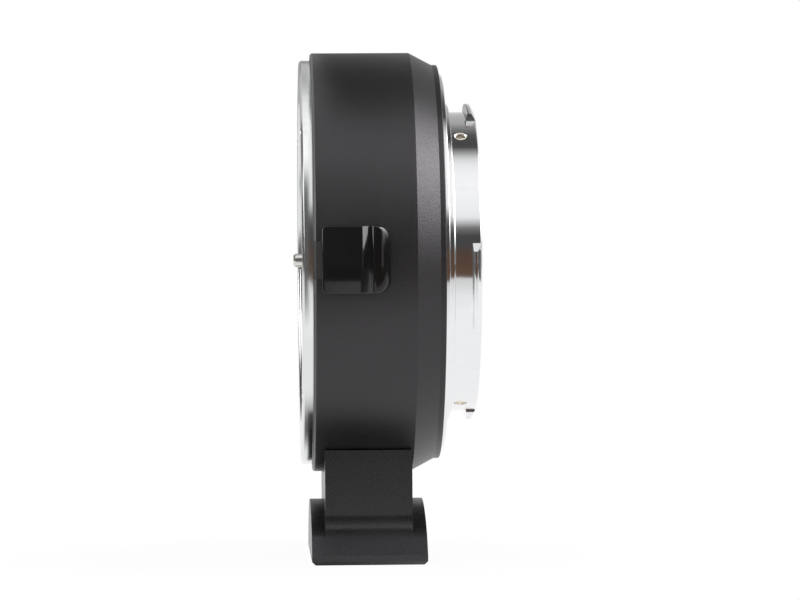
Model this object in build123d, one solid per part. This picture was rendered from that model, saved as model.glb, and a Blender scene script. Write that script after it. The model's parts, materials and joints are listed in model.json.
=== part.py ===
from build123d import *
import math
import os

# Lens mount adapter: a turned barrel with a female lens bayonet in front, a male camera bayonet
# behind, electric contacts at both ends, a sprung release slider and a tripod foot.
# X runs along the optical axis from the lens side to the camera side and +Z is up. The origin is
# on the optical axis, in the face of the lens flange. Angles go round the optical axis, from the
# release slider's side (-Y) upwards. All lengths are in millimetres.

# Flange distances of the two mounts
lens_register = 44.0
camera_register = 20.0
flange_gap = lens_register - camera_register

# Clearances
seat_gap = 0.02         # pressed, screwed or glued together
fit_gap = 0.10          # fixed pieces that drop into each other
run_gap = 0.05          # pin in its guide bore
slide_gap = 0.20        # moving piece beside a fixed one
stop_gap = 0.30         # moving piece in front of its stop

# Radial build of the lens side, from the throat outwards
throat_radius = 27.0
mechanism_depth = 5.85
shell_wall = 2.6
cavity_radius = throat_radius + mechanism_depth
barrel_radius = cavity_radius + shell_wall

# Lens bayonet ring
ring_thickness = 1.9
ring_step = 1.25
ring_radius = barrel_radius - ring_step
ring_edge = 0.4
claw_reach = 1.4
claw_recess = 0.3
claw_thickness = 1.2
claw_span = 56.0
claw_angles = (90.0, 210.0, 330.0)

# Barrel
front_web = 2.5
web_setback = 0.3
rear_web = 2.6
flange_rim = 0.7
band_length = 0.9
cone_length = 3.85
cone_drop = 2.05
front_chamfer = 0.25
band_edge = 0.18
barrel_front = ring_thickness
barrel_back = flange_gap - flange_rim
cone_end = barrel_back - band_length
cone_start = cone_end - cone_length
band_radius = barrel_radius - cone_drop
web_bore = throat_radius + web_setback
web_back = barrel_front + front_web

# Camera bayonet
flange_step = 1.6
flange_thickness = 1.8
flange_edge = 0.15
tube_radius = 25.37
tube_wall = 1.47
tube_length = 5.5
tube_edge = 0.25
shoulder_length = 1.07
shoulder_edge = 0.2
lug_height = 1.43
lug_length = 1.6
lug_front_slope = 0.15
lug_back_slope = 0.75
lug_span = 34.0
lug_lead_in = 1.6
lug_lead_height = 0.35
lug_angles = (-11.0, 81.0, 169.0, 259.0)
lock_slot_angle = 200.0
lock_slot_width = 2.4
lock_slot_length = 4.2
lock_slot_depth = 1.2
flange_radius = band_radius - flange_step
flange_seat = flange_gap - flange_thickness
rear_web_front = flange_seat - rear_web
tube_bore = tube_radius - tube_wall
tube_end = flange_gap + tube_length
lug_radius = tube_radius + lug_height
flange_screw_orbit = (lug_radius + flange_radius) / 2

# Countersunk screws of both mounts
screw_radius = 1.0
screw_head_radius = 1.8
screw_head_height = 1.0
screw_sink = 0.05
lens_screw_angles = (45.0, 135.0, 225.0, 315.0)
camera_screw_angles = (32.0, 122.0, 228.0, 318.0)
lens_screw_orbit = (throat_radius + ring_radius) / 2
recess_width = 0.4
recess_depth = 0.45

# Release slider, its carriage and lock pin
slider_setback = 1.2
slider_length = 11.05
slider_half_width = 5.5
slider_lift = 0.15
panel_rise = 1.0
crest_rise = 2.4
panel_length = 6.4
ramp_length = 1.75
crest_length = 0.4
tail_rise = 0.7
front_corner = 0.9
rear_corner = 2.3
slider_edge = 0.3
slider_trim = 0.2
slider_blank_arc = 30.0
release_travel = 2.0
stem_length = 5.0
stem_half_width = 2.9
plate_thickness = 0.8
plate_half_width = 5.0
boss_length = 2.6
boss_half_width = 1.9
boss_wall = 0.7
pin_radius = 1.1
pin_reach = 1.4
pin_tip = 0.3
pin_tail_length = 1.6
pin_tail_radius = 0.6
guide_wall = 0.6
guide_tongue = 0.9
slot_half_width = stem_half_width + slide_gap
slider_front = barrel_front + slider_setback
slider_back = slider_front + slider_length
stem_front = web_back + guide_tongue + stop_gap
stem_back = stem_front + stem_length
slot_end = stem_back + release_travel + stop_gap
plate_outer = math.sqrt((cavity_radius - slide_gap) ** 2 - plate_half_width ** 2)
plate_inner = plate_outer - plate_thickness
pin_orbit = plate_inner - stop_gap - pin_radius
plate_front = stem_front - stop_gap / 2
boss_back = stem_back + stop_gap
boss_front = boss_back - boss_length
guide_inner = pin_orbit - pin_radius - guide_wall
slider_screw_radius = 0.5
slider_screw_head = 0.8
slider_screw_head_height = 0.5
slider_screw_depth = 2.0
slider_screw_inset = 1.1
slider_screw_x = stem_front + slider_screw_inset
slider_screw_spread = pin_radius + slider_screw_head + fit_gap

# Return spring between the carriage and the barrel's rear web
spring_radius = 0.85
spring_wire = 0.15
spring_turns = 9
spring_wire_sides = 8
spring_pocket = 0.6

# Leaf spring ring behind the claws
leaf_thickness = 0.2
leaf_slit = 0.3
leaf_span = 44.0
leaf_bridge = 7.0
leaf_outer = guide_inner - 2 * fit_gap
leaf_inner = throat_radius + fit_gap
tongue_outer = leaf_inner - leaf_slit
tongue_inner = throat_radius - claw_reach + slide_gap

# Lens contacts
contact_count = 8
contact_travel = 0.9
contact_reach = 1.3
contact_tip_radius = 0.5
contact_body_radius = 0.62
contact_spring_room = 1.4
sleeve_wall = 0.25
sleeve_floor = 0.5
block_front = 6.0
block_length = 5.0
block_step = 1.5
block_half_span = 31.0
bar_inset = 8.5
bar_end = 2.9
bar_half_span = block_half_span - bar_inset
contact_pitch = 2 * (bar_half_span - bar_end) / (contact_count - 1)
block_inset = 0.3
block_depth = 5.0
bar_margin = 0.5
board_thickness = 0.8
chip_height = 0.9
chip_side = 3.6
regulator_size = (2.4, 1.6)
regulator_spread = 1.0
block_screw_inset = 4.0
block_screw_angle = block_half_span - block_screw_inset
chip_inset = 11.0
chip_angle = block_screw_angle - chip_inset
block_screw_radius = 0.8
block_screw_head = 1.5
block_screw_head_height = 0.8
block_screw_depth = 4.0
boss_radius = 1.9
boss_rib = 3.0
block_back = block_front + block_length
board_back = block_back + board_thickness

# Light baffle
baffle_wall = 0.9
baffle_seat = 0.65
baffle_step_count = 9
baffle_tube_wall = 1.15
window_width = 36.0
window_height = 26.0
window_corner = 3.0
window_plate = 1.5
window_setback = 1.1
funnel_front = 8.0
pocket_length = 6.0
pocket_margin = 1.5
tunnel_wall = 0.9
tunnel_side = 2.2
baffle_outer = web_bore - slide_gap
baffle_inner = baffle_outer - baffle_wall
baffle_front = web_back + slide_gap
rear_lip = 0.2
rear_bore = baffle_outer - rear_lip
baffle_tube_outer = tube_bore - fit_gap
baffle_tube_inner = baffle_tube_outer - baffle_tube_wall
baffle_back = tube_end - window_setback
block_outer = baffle_inner - block_inset
block_inner = block_outer - block_depth
contact_orbit = (block_outer + block_inner) / 2
pocket_back = board_back + pocket_length
pocket_half_span = block_half_span + pocket_margin
tunnel_half_span = pocket_half_span + tunnel_side
funnel_back = flange_seat - fit_gap

# Camera contacts
pad_count = 10
pad_pitch = 5.4
pad_width = 1.2
pad_height = 2.6
pad_thickness = 0.4
pad_proud = 0.05
camera_block_half_span = 31.0
block_side_gap = 0.5
camera_block_length = 4.6
camera_block_depth = 4.7
camera_block_setback = 0.3
camera_block_outer = tube_bore - 2 * fit_gap
camera_block_inner = camera_block_outer - camera_block_depth
camera_block_back = tube_end - camera_block_setback
camera_block_front = camera_block_back - camera_block_length
pad_orbit = (camera_block_outer + camera_block_inner) / 2

# Flat lead between the two contact blocks
ribbon_width = 8.0
ribbon_thickness = 0.2
ribbon_sag = 0.6
ribbon_bend = 1.5
ribbon_level = pad_orbit

# Screws through the bayonet tube
tube_screw_angles = (54.5, 140.0, 290.0)
tube_screw_setback = 2.67
tube_screw_x = flange_gap + tube_screw_setback
tube_screw_radius = 0.6
tube_screw_head = 1.05
tube_screw_head_height = 0.5
tube_screw_length = 2.6

# Index marks
mark_radius = 0.9
mark_depth = 0.5
lens_mark_angle = 90.0
camera_mark_angle = 75.0

# Tripod foot
foot_center = 10.95
foot_base_length = 19.05
foot_base_half_width = 22.0
foot_height = 50.0
foot_edge_height = 1.6
foot_edge = 0.6
dovetail_height = 2.8
arch_rise = 5.4
post_length = 14.45
post_half_width = 17.2
post_cove = 4.0
post_chamfer = 0.2
saddle_gap = 0.25
tripod_thread_radius = 3.175
tripod_thread_depth = 8.0
foot_screw_spread = 12.5
foot_screw_radius = 1.5
foot_screw_head = 2.75
foot_screw_head_height = 3.0
foot_screw_recess = 0.4
foot_screw_socket = 1.25
foot_screw_reach = 1.9

# How a round piece sits on the origin: on its foot, or with its top there
STANDING = (Align.CENTER, Align.CENTER, Align.MIN)
HANGING = (Align.CENTER, Align.CENTER, Align.MAX)


def turned(*points):
    """Full turn about the optical axis of an outline of (x, radius) points."""
    outline = make_face(Polyline(*points, close=True).edges())
    return revolve(outline, axis=Axis.X)


def sector(start, end, *points):
    """Part turn of an outline of (x, radius) points, between two angles."""
    outline = make_face(Polyline(*points, close=True).edges())
    return Rot(180 - end, 0, 0) * revolve(outline, axis=Axis.X, revolution_arc=end - start)


def arc_block(middle, half_span, x_front, x_back, inner, outer):
    """Piece of a tube: a rectangle in (x, radius) swept to both sides of an angle."""
    return sector(
        middle - half_span,
        middle + half_span,
        (x_front, inner),
        (x_back, inner),
        (x_back, outer),
        (x_front, outer),
    )


def spun(angle, piece):
    """Turn a piece that was made at the slider's side to its own angle."""
    return Rot(-angle, 0, 0) * piece


def rod(radius, x_front, x_back, orbit, angle):
    """Round bar along the optical axis, at a distance from it."""
    bar = Cylinder(radius, x_back - x_front, align=STANDING)
    return spun(angle, Pos(x_front, -orbit, 0) * Rot(0, 90, 0) * bar)


def taper(radius_front, radius_back, x_front, x_back, orbit, angle):
    """Cone along the optical axis, at a distance from it."""
    cone = Cone(radius_front, radius_back, x_back - x_front, align=STANDING)
    return spun(angle, Pos(x_front, -orbit, 0) * Rot(0, 90, 0) * cone)


def spoke(radius, inner, outer, x, angle):
    """Round bar that points away from the optical axis."""
    bar = Cylinder(radius, outer - inner, align=STANDING)
    return spun(angle, Pos(x, -inner, 0) * Rot(90, 0, 0) * bar)


def cross_recess(width, length, depth):
    """Cross that opens upwards at the height of the origin."""
    bar = Box(length, width, depth, align=HANGING)
    return bar + Rot(0, 0, 90) * bar


def round_edges(piece, x, radius):
    """Circular edges of a turned piece at one place along the axis and one radius."""
    circles = piece.edges().filter_by(GeomType.CIRCLE)
    return [e for e in circles if abs(e.radius - radius) < 1e-4 and abs(e.center().X - x) < 1e-4]


def countersunk_screw(length):
    """Screw that stands on its tip, with its flat head's face at the origin."""
    shank = Cylinder(screw_radius, length, align=HANGING)
    head = Cone(
        screw_radius,
        screw_head_radius,
        screw_head_height,
        align=HANGING,
    )
    return shank + head - cross_recess(recess_width, screw_head_radius * 1.2, recess_depth)


def countersink(length, gap):
    """Cutter for a countersunk screw, opened by a clearance."""
    shank = Cylinder(screw_radius + gap, length, align=HANGING)
    head = Cone(
        screw_radius + gap,
        screw_head_radius + screw_sink + gap,
        screw_head_height + screw_sink,
        align=HANGING,
    )
    return shank + head


def facing_lens(x, orbit, angle, piece):
    """Put a piece whose top is at the origin on a face that looks at the lens."""
    return spun(angle, Pos(x, -orbit, 0) * Rot(0, -90, 0) * piece)


def facing_camera(x, orbit, angle, piece):
    """Put a piece whose top is at the origin on a face that looks at the camera."""
    return spun(angle, Pos(x, -orbit, 0) * Rot(0, 90, 0) * piece)


def facing_out(x, radius, angle, piece):
    """Put a piece whose top is at the origin on a turned surface."""
    return spun(angle, Pos(x, -radius, 0) * Rot(90, 0, 0) * piece)


lens_screw_length = ring_thickness + front_web - 2 * screw_sink
camera_screw_length = flange_thickness + rear_web - 2 * screw_sink


def make_barrel():
    leaf_seat = leaf_thickness + fit_gap / 2
    body = turned(
        (barrel_front, leaf_outer + fit_gap),
        (barrel_front, barrel_radius - front_chamfer),
        (barrel_front + front_chamfer, barrel_radius),
        (cone_start, barrel_radius),
        (cone_end, band_radius),
        (barrel_back, band_radius),
        (barrel_back, flange_radius + fit_gap),
        (flange_seat, flange_radius + fit_gap),
        (flange_seat, rear_bore),
        (rear_web_front, rear_bore),
        (rear_web_front, cavity_radius),
        (web_back, cavity_radius),
        (web_back, web_bore),
        (barrel_front + leaf_seat, web_bore),
        (barrel_front + leaf_seat, leaf_outer + fit_gap),
    )
    body = fillet(round_edges(body, barrel_back, band_radius), band_edge)
    slot = Box(
        slot_end - barrel_front,
        barrel_radius,
        2 * slot_half_width,
        align=(Align.MIN, Align.MAX, Align.CENTER),
    )
    body -= Pos(barrel_front, -web_bore + slide_gap, 0) * slot
    for angle in lens_screw_angles:
        body -= rod(screw_radius + seat_gap, barrel_front, web_back, lens_screw_orbit, angle)
    for angle in camera_screw_angles:
        body -= rod(screw_radius + seat_gap, rear_web_front, flange_seat, flange_screw_orbit, angle)
    pocket_end = rear_web_front + spring_pocket
    body -= rod(spring_radius + spring_wire + fit_gap, rear_web_front, pocket_end, pin_orbit, 0)
    for side in (-1, 1):
        hole = Cylinder(foot_screw_radius + seat_gap, barrel_radius, align=HANGING)
        body -= Pos(foot_center, side * foot_screw_spread, 0) * hole
    return body


def make_lens_bayonet_ring():
    ring = turned(
        (0, throat_radius),
        (0, ring_radius),
        (ring_thickness, ring_radius),
        (ring_thickness, throat_radius),
    )
    ring = fillet(round_edges(ring, 0, ring_radius), ring_edge)
    for angle in claw_angles:
        ring += arc_block(
            angle,
            claw_span / 2,
            claw_recess,
            claw_recess + claw_thickness,
            throat_radius - claw_reach,
            throat_radius + claw_reach,
        )
    for angle in lens_screw_angles:
        ring -= facing_lens(0, lens_screw_orbit, angle, countersink(lens_screw_length, seat_gap))
    ring -= rod(pin_radius + fit_gap, 0, ring_thickness, pin_orbit, 0)
    ring -= rod(mark_radius + seat_gap, 0, mark_depth, lens_screw_orbit, lens_mark_angle)
    return ring


def make_lens_mount_screws():
    screw = countersunk_screw(lens_screw_length)
    return [facing_lens(screw_sink, lens_screw_orbit, angle, screw) for angle in lens_screw_angles]


def make_lens_mount_spring():
    front = barrel_front + fit_gap / 4
    back = front + leaf_thickness
    spring = turned((front, leaf_inner), (front, leaf_outer), (back, leaf_outer), (back, leaf_inner))
    for angle in claw_angles:
        spring += arc_block(angle, leaf_span / 2, front, back, tongue_inner, tongue_outer)
        foot = angle - leaf_span / 2 + leaf_bridge / 2
        spring += arc_block(foot, leaf_bridge / 2, front, back, tongue_inner, leaf_inner + leaf_slit)
    return spring


def make_lens_index_mark():
    return rod(mark_radius, screw_sink, mark_depth - seat_gap, lens_screw_orbit, lens_mark_angle)


def make_release_slider():
    blank_front = slider_front - slider_trim
    blank_back = slider_back + slider_trim
    ramp_start = slider_front + panel_length
    crest_start = ramp_start + ramp_length
    crest_end = crest_start + crest_length
    panel = barrel_radius + panel_rise
    crest = barrel_radius + crest_rise
    under = barrel_radius + slider_lift
    tail = barrel_radius + tail_rise
    outline = Curve() + [
        Polyline((blank_front, under), (blank_front, panel), (ramp_start, panel)),
        TangentArc((ramp_start, panel), (crest_start, crest), tangent=(1, 0)),
        Line((crest_start, crest), (crest_end, crest)),
        TangentArc((crest_end, crest), (blank_back, tail), tangent=(1, 0)),
        Polyline((blank_back, tail), (blank_back, under), (blank_front, under)),
    ]
    blank = revolve(make_face(outline.edges()), axis=Axis.X, revolution_arc=slider_blank_arc)
    cap = Rot(180 - slider_blank_arc / 2, 0, 0) * blank
    plan = FilletPolyline(
        (slider_front, -slider_half_width),
        (slider_back, -slider_half_width),
        (slider_back, slider_half_width),
        (slider_front, slider_half_width),
        radius=[front_corner, rear_corner, rear_corner, front_corner],
        close=True,
    )
    cap &= extrude(Plane.XZ * make_face(plan.edges()), amount=2 * barrel_radius)
    cap = fillet(slider_rim(cap, crest_start), slider_edge)
    stem = Box(
        stem_length,
        under + fit_gap - plate_outer,
        2 * stem_half_width,
        align=(Align.MIN, Align.MAX, Align.CENTER),
    )
    cap += Pos(stem_front, -plate_outer, 0) * stem
    for side in (-1, 1):
        cap -= slider_screw_hole(side, plate_outer + slider_screw_depth)
    return cap


def slider_rim(cap, crest_start):
    """Sharp upper edges of the slider: its rim and the front of its thumb crest."""
    rim = []
    for edge in cap.edges():
        middle = edge.center()
        run = edge.tangent_at(0.5)
        upright = edge.geom_type == GeomType.LINE and abs(run.Y) > 0.9
        inside = slider_front < middle.X - run_gap and middle.X + run_gap < slider_back
        across = edge.geom_type == GeomType.CIRCLE and inside and abs(run.X) < 1e-6
        on_crest = abs(middle.X - crest_start) < 1e-6
        high = math.hypot(middle.Y, middle.Z) > barrel_radius + (slider_lift + tail_rise) / 2
        if high and not upright and (on_crest or not across):
            rim.append(edge)
    return rim


def slider_screw_hole(side, outer):
    hole = Cylinder(slider_screw_radius + seat_gap, outer, align=STANDING)
    return Pos(slider_screw_x, 0, side * slider_screw_spread) * Rot(90, 0, 0) * hole


def make_slider_screws():
    shank_length = plate_thickness + slider_screw_depth - fit_gap
    shank = Cylinder(slider_screw_radius, shank_length, align=HANGING)
    head = Cylinder(slider_screw_head, slider_screw_head_height, align=STANDING)
    recess = cross_recess(recess_width / 2, slider_screw_head, slider_screw_head_height / 2)
    screw = shank + head - Pos(0, 0, slider_screw_head_height) * recess
    place = Pos(slider_screw_x, -plate_inner, 0) * Rot(-90, 0, 0)
    return [Pos(0, 0, side * slider_screw_spread) * place * screw for side in (-1, 1)]


def make_slider_carriage():
    plate = Box(
        boss_back - plate_front,
        plate_thickness,
        2 * plate_half_width,
        align=(Align.MIN, Align.MAX, Align.CENTER),
    )
    carriage = Pos(plate_front, -plate_inner, 0) * plate
    boss_inner = pin_orbit - pin_radius - boss_wall
    boss = Box(
        boss_length,
        plate_outer - boss_inner,
        2 * boss_half_width,
        align=(Align.MIN, Align.MAX, Align.CENTER),
    )
    boss = fillet(boss.edges().filter_by(Axis.X).group_by(Axis.Y)[-1], boss_half_width * 0.6)
    carriage += Pos(boss_front, -boss_inner, 0) * boss
    carriage -= rod(pin_radius + seat_gap, boss_front, boss_back, pin_orbit, 0)
    for side in (-1, 1):
        carriage -= slider_screw_hole(side, plate_outer + fit_gap)
    return carriage


def make_lock_pin():
    pin = rod(pin_radius, pin_tip - pin_reach, boss_back, pin_orbit, 0)
    pin += taper(pin_radius - pin_tip, pin_radius, -pin_reach, pin_tip - pin_reach, pin_orbit, 0)
    return pin + rod(pin_tail_radius, boss_back, boss_back + pin_tail_length, pin_orbit, 0)


def make_slider_guide():
    half_width = slot_half_width - fit_gap / 2
    profile = Polyline(
        (barrel_front, guide_inner),
        (web_back, guide_inner),
        (web_back, cavity_radius + fit_gap),
        (web_back + guide_tongue, cavity_radius + fit_gap),
        (web_back + guide_tongue, barrel_radius + shell_wall),
        (barrel_front, barrel_radius + shell_wall),
        close=True,
    )
    guide = extrude(Rot(180, 0, 0) * make_face(profile.edges()), amount=half_width, both=True)
    flush = barrel_radius - fit_gap / 2
    guide &= turned((0, 0), (0, flush - front_chamfer), (barrel_front, flush - front_chamfer),
                    (barrel_front + front_chamfer, flush), (slot_end, flush), (slot_end, 0))
    return guide - rod(pin_radius + run_gap, barrel_front, web_back, pin_orbit, 0)


def make_return_spring():
    spring_front = boss_back + spring_wire + seat_gap
    spring_back = rear_web_front + spring_pocket - spring_wire - seat_gap
    length = spring_back - spring_front
    path = Helix(pitch=length / spring_turns, height=length, radius=spring_radius)
    section = RegularPolygon(spring_wire, spring_wire_sides)
    wire = sweep(Plane(path @ 0, z_dir=path % 0) * section, path=path, is_frenet=True)
    return Pos(spring_front, -pin_orbit, 0) * Rot(0, 90, 0) * wire


def contact_angles():
    middle = (contact_count - 1) / 2
    return [-90 + (number - middle) * contact_pitch for number in range(contact_count)]


sleeve_radius = contact_body_radius + run_gap + sleeve_wall
sleeve_front = block_front - fit_gap


def make_lens_contact_block():
    block = arc_block(-90, block_half_span, block_front + block_step, block_back, block_inner, block_outer)
    block += arc_block(
        -90,
        bar_half_span,
        block_front,
        block_back,
        block_inner + bar_margin,
        block_outer - bar_margin,
    )
    for angle in contact_angles():
        block -= rod(sleeve_radius + seat_gap, block_front, block_back, contact_orbit, angle)
    for side in (-1, 1):
        angle = -90 + side * block_screw_angle
        block -= rod(block_screw_radius + seat_gap, block_front, block_back, contact_orbit, angle)
    return block


def make_lens_contact_sleeves():
    bore_front = sleeve_front + sleeve_wall
    bore_back = block_back - sleeve_floor
    sleeves = []
    for angle in contact_angles():
        sleeve = rod(sleeve_radius, sleeve_front, block_back, contact_orbit, angle)
        sleeve -= rod(contact_body_radius + run_gap, bore_front, bore_back, contact_orbit, angle)
        sleeve -= rod(contact_tip_radius + run_gap, sleeve_front, bore_front, contact_orbit, angle)
        sleeves.append(sleeve)
    return sleeves


def make_lens_contact_pin(angle):
    tip = block_front - contact_reach
    body_front = sleeve_front + sleeve_wall + run_gap
    body_back = block_back - sleeve_floor - contact_spring_room - contact_travel
    shoulder = body_front - tip
    length = body_back - tip
    outline = Polyline(
        (0, 0, 0),
        (contact_tip_radius, 0, 0),
        (contact_tip_radius, 0, shoulder),
        (contact_body_radius, 0, shoulder),
        (contact_body_radius, 0, length),
        (0, 0, length),
        close=True,
    )
    profile = make_face(outline.edges())
    tip_corner = profile.vertices().group_by(Axis.Z)[0].sort_by(Axis.X)[-1]
    pin = revolve(fillet(tip_corner, contact_tip_radius * 0.8), Axis.Z)
    return spun(angle, Pos(tip, -contact_orbit, 0) * Rot(0, 90, 0) * pin)


def make_circuit_board():
    board = arc_block(-90, block_half_span, block_back, board_back, block_inner, block_outer)
    for side in (-1, 1):
        angle = -90 + side * block_screw_angle
        board -= rod(block_screw_radius + seat_gap, block_back, board_back, contact_orbit, angle)
    return board


def make_board_chips():
    controller = Box(chip_height, chip_side, chip_side, align=(Align.MIN, Align.CENTER, Align.CENTER))
    regulator = Box(chip_height, *regulator_size, align=(Align.MIN, Align.CENTER, Align.CENTER))
    seat = Pos(board_back, 0, -contact_orbit)
    return [
        Rot(-chip_angle, 0, 0) * seat * controller,
        Rot(chip_angle, 0, 0) * Pos(0, 0, regulator_spread) * seat * regulator,
        Rot(chip_angle, 0, 0) * Pos(0, 0, -regulator_spread) * seat * regulator,
    ]


def make_contact_block_screws():
    head_front = block_front + block_step - block_screw_head_height
    screws = []
    for side in (-1, 1):
        angle = -90 + side * block_screw_angle
        shank_end = board_back + block_screw_depth
        screw = rod(block_screw_radius, block_front + block_step, shank_end, contact_orbit, angle)
        screw += rod(block_screw_head, head_front, block_front + block_step, contact_orbit, angle)
        recess = cross_recess(recess_width, block_screw_head * 1.2, recess_depth)
        screws.append(screw - facing_lens(head_front, contact_orbit, angle, recess))
    return screws


def make_flex_ribbon():
    start = board_back + seat_gap
    end = camera_block_front - seat_gap
    middle = (start + end) / 2
    line = FilletPolyline(
        (start, -ribbon_level),
        (start + 2 * ribbon_bend, -ribbon_level),
        (middle, -ribbon_level - ribbon_sag),
        (end - 2 * ribbon_bend, -ribbon_level),
        (end, -ribbon_level),
        radius=ribbon_bend,
    )
    strip = trace(line, line_width=ribbon_thickness)
    return extrude(Plane.XZ * strip, amount=ribbon_width / 2, both=True)


def funnel_steps():
    """Light-trap steps of the lining: level treads with a sharp fall at the end of each."""
    tread = (funnel_back - funnel_front) / baffle_step_count
    fall = (baffle_inner - baffle_tube_inner) / baffle_step_count
    corners = []
    for number in range(baffle_step_count):
        x = funnel_front + number * tread
        corners.append((x, baffle_inner - number * fall))
        corners.append((x, baffle_inner - (number + 1) * fall))
    return corners


def make_contact_tunnel():
    """Moulded hood over the board and the flat lead, with a wall at each side."""
    tunnel_end = camera_block_front - fit_gap
    under = block_inner - slide_gap
    top = under - tunnel_wall
    tube_wall_middle = baffle_tube_inner + baffle_tube_wall / 2
    hood = arc_block(-90, tunnel_half_span, block_back, tunnel_end, top, under)
    for side in (-1, 1):
        inner_angle = -90 + side * pocket_half_span
        outer_angle = -90 + side * tunnel_half_span
        hood += sector(
            min(inner_angle, outer_angle),
            max(inner_angle, outer_angle),
            (block_back, top),
            (tunnel_end, top),
            (tunnel_end, tube_wall_middle),
            (funnel_back, tube_wall_middle),
            (block_back, baffle_inner + baffle_wall / 2),
        )
    return hood


def make_light_baffle():
    cone_front = rear_web_front + baffle_seat
    plate_front_x = baffle_back - window_plate
    baffle = turned(
        (baffle_front, baffle_outer),
        (rear_web_front - seat_gap, baffle_outer),
        (rear_web_front - seat_gap, rear_bore - fit_gap),
        (cone_front, rear_bore - fit_gap),
        (funnel_back, baffle_tube_outer),
        (baffle_back, baffle_tube_outer),
        (baffle_back, 0),
        (plate_front_x, 0),
        (plate_front_x, baffle_tube_inner),
        *reversed(funnel_steps()),
        (baffle_front, baffle_inner),
    )
    window = RectangleRounded(window_width, window_height, window_corner)
    window_cut = Rot(0, 90, 0) * Rot(0, 0, 90) * extrude(window, amount=tube_end)
    baffle -= Pos(plate_front_x - fit_gap, 0, 0) * window_cut
    baffle -= arc_block(
        -90,
        pocket_half_span,
        baffle_front - fit_gap,
        pocket_back,
        block_inner - slide_gap,
        block_outer + slide_gap,
    )
    baffle += make_contact_tunnel()
    for side in (-1, 1):
        angle = -90 + side * block_screw_angle
        hole_back = board_back + block_screw_depth + fit_gap
        baffle += rod(boss_radius, board_back, pocket_back + boss_radius, contact_orbit, angle)
        rib = Box(
            boss_radius - 2 * fit_gap,
            baffle_inner + baffle_wall / 2 - contact_orbit,
            boss_rib,
            align=(Align.MIN, Align.MAX, Align.CENTER),
        )
        baffle += spun(angle, Pos(pocket_back + fit_gap, -contact_orbit, 0) * rib)
        baffle -= rod(block_screw_radius + seat_gap, board_back, hole_back, contact_orbit, angle)
    baffle -= arc_block(
        -90,
        camera_block_half_span + block_side_gap,
        camera_block_front - fit_gap,
        tube_end,
        camera_block_inner - fit_gap,
        tube_radius,
    )
    for angle in tube_screw_angles:
        baffle -= tube_screw_hole(baffle_tube_inner - slide_gap, angle)
    return baffle


def make_camera_bayonet():
    bayonet = turned(
        (flange_seat, tube_bore),
        (flange_seat, flange_radius),
        (flange_gap - flange_edge, flange_radius),
        (flange_gap, flange_radius - flange_edge),
        (flange_gap, lug_radius),
        (flange_gap + shoulder_length - shoulder_edge, lug_radius),
        (flange_gap + shoulder_length, lug_radius - shoulder_edge),
        (flange_gap + shoulder_length, tube_radius),
        (tube_end - tube_edge, tube_radius),
        (tube_end, tube_radius - tube_edge),
        (tube_end, tube_bore),
    )
    lug_front = tube_end - lug_length
    for angle in lug_angles:
        lug = sector(
            angle - lug_span / 2,
            angle + lug_span / 2,
            (lug_front, tube_radius - tube_edge),
            (lug_front + lug_front_slope, lug_radius),
            (tube_end - lug_back_slope, lug_radius),
            (tube_end, tube_radius),
            (tube_end, tube_radius - tube_edge),
        )
        bayonet += lug - spun(angle + lug_span / 2, lug_bevel())
    sink = countersink(camera_screw_length, seat_gap)
    for angle in camera_screw_angles:
        bayonet -= facing_camera(flange_gap, flange_screw_orbit, angle, sink)
    for angle in tube_screw_angles:
        bayonet -= facing_out(tube_screw_x, tube_radius, angle, tube_screw_cutter())
    slot = extrude(SlotOverall(lock_slot_length, lock_slot_width), amount=-lock_slot_depth)
    bayonet -= facing_camera(flange_gap, flange_screw_orbit, lock_slot_angle, slot)
    mark_front = flange_gap - mark_depth
    bayonet -= rod(mark_radius + seat_gap, mark_front, flange_gap, flange_screw_orbit, camera_mark_angle)
    return bayonet


def lug_bevel():
    """Wedge that takes the corner off the end of a lug, which then slides in more easily."""
    level = -tube_radius - lug_lead_height
    clear = -lug_radius - lug_height
    outline = Polyline(
        (level, 0),
        (-lug_radius - seat_gap, -lug_lead_in),
        (clear, -lug_lead_in),
        (clear, lug_height),
        (level, lug_height),
        close=True,
    )
    front = tube_end - 2 * lug_length
    return extrude(Plane.YZ.offset(front) * make_face(outline.edges()), amount=3 * lug_length)


def make_camera_mount_screws():
    screw = countersunk_screw(camera_screw_length)
    place = flange_gap - screw_sink
    return [facing_camera(place, flange_screw_orbit, angle, screw) for angle in camera_screw_angles]


def make_camera_index_mark():
    front = flange_gap - mark_depth + seat_gap
    return rod(mark_radius, front, flange_gap - screw_sink, flange_screw_orbit, camera_mark_angle)


def tube_screw_hole(inner, angle):
    return spoke(tube_screw_radius + seat_gap, inner, tube_radius, tube_screw_x, angle)


def tube_screw_cutter():
    shank = Cylinder(tube_screw_radius + seat_gap, 2 * tube_wall, align=HANGING)
    head = Cylinder(
        tube_screw_head + seat_gap,
        tube_screw_head_height + seat_gap,
        align=(Align.CENTER, Align.CENTER, Align.CENTER),
    )
    return shank + Pos(0, 0, -tube_screw_head_height / 2) * head


def make_baffle_screws():
    head = Cylinder(tube_screw_head, tube_screw_head_height, align=HANGING)
    head = fillet(head.edges().group_by(Axis.Z)[-1], tube_screw_head_height * 0.3)
    shank = Cylinder(tube_screw_radius, tube_screw_length, align=HANGING)
    recess = cross_recess(recess_width * 0.8, tube_screw_head * 1.3, tube_screw_head_height * 0.8)
    screw = head + shank - recess
    return [facing_out(tube_screw_x, tube_radius, angle, screw) for angle in tube_screw_angles]


def pad_angles():
    middle = (pad_count - 1) / 2
    return [-90 + (number - middle) * pad_pitch for number in range(pad_count)]


def contact_pad(gap):
    pad = Box(
        pad_thickness,
        pad_height + 2 * gap,
        pad_width + 2 * gap,
        align=(Align.MAX, Align.CENTER, Align.CENTER),
    )
    return Pos(camera_block_back + pad_proud, -pad_orbit, 0) * pad


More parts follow.
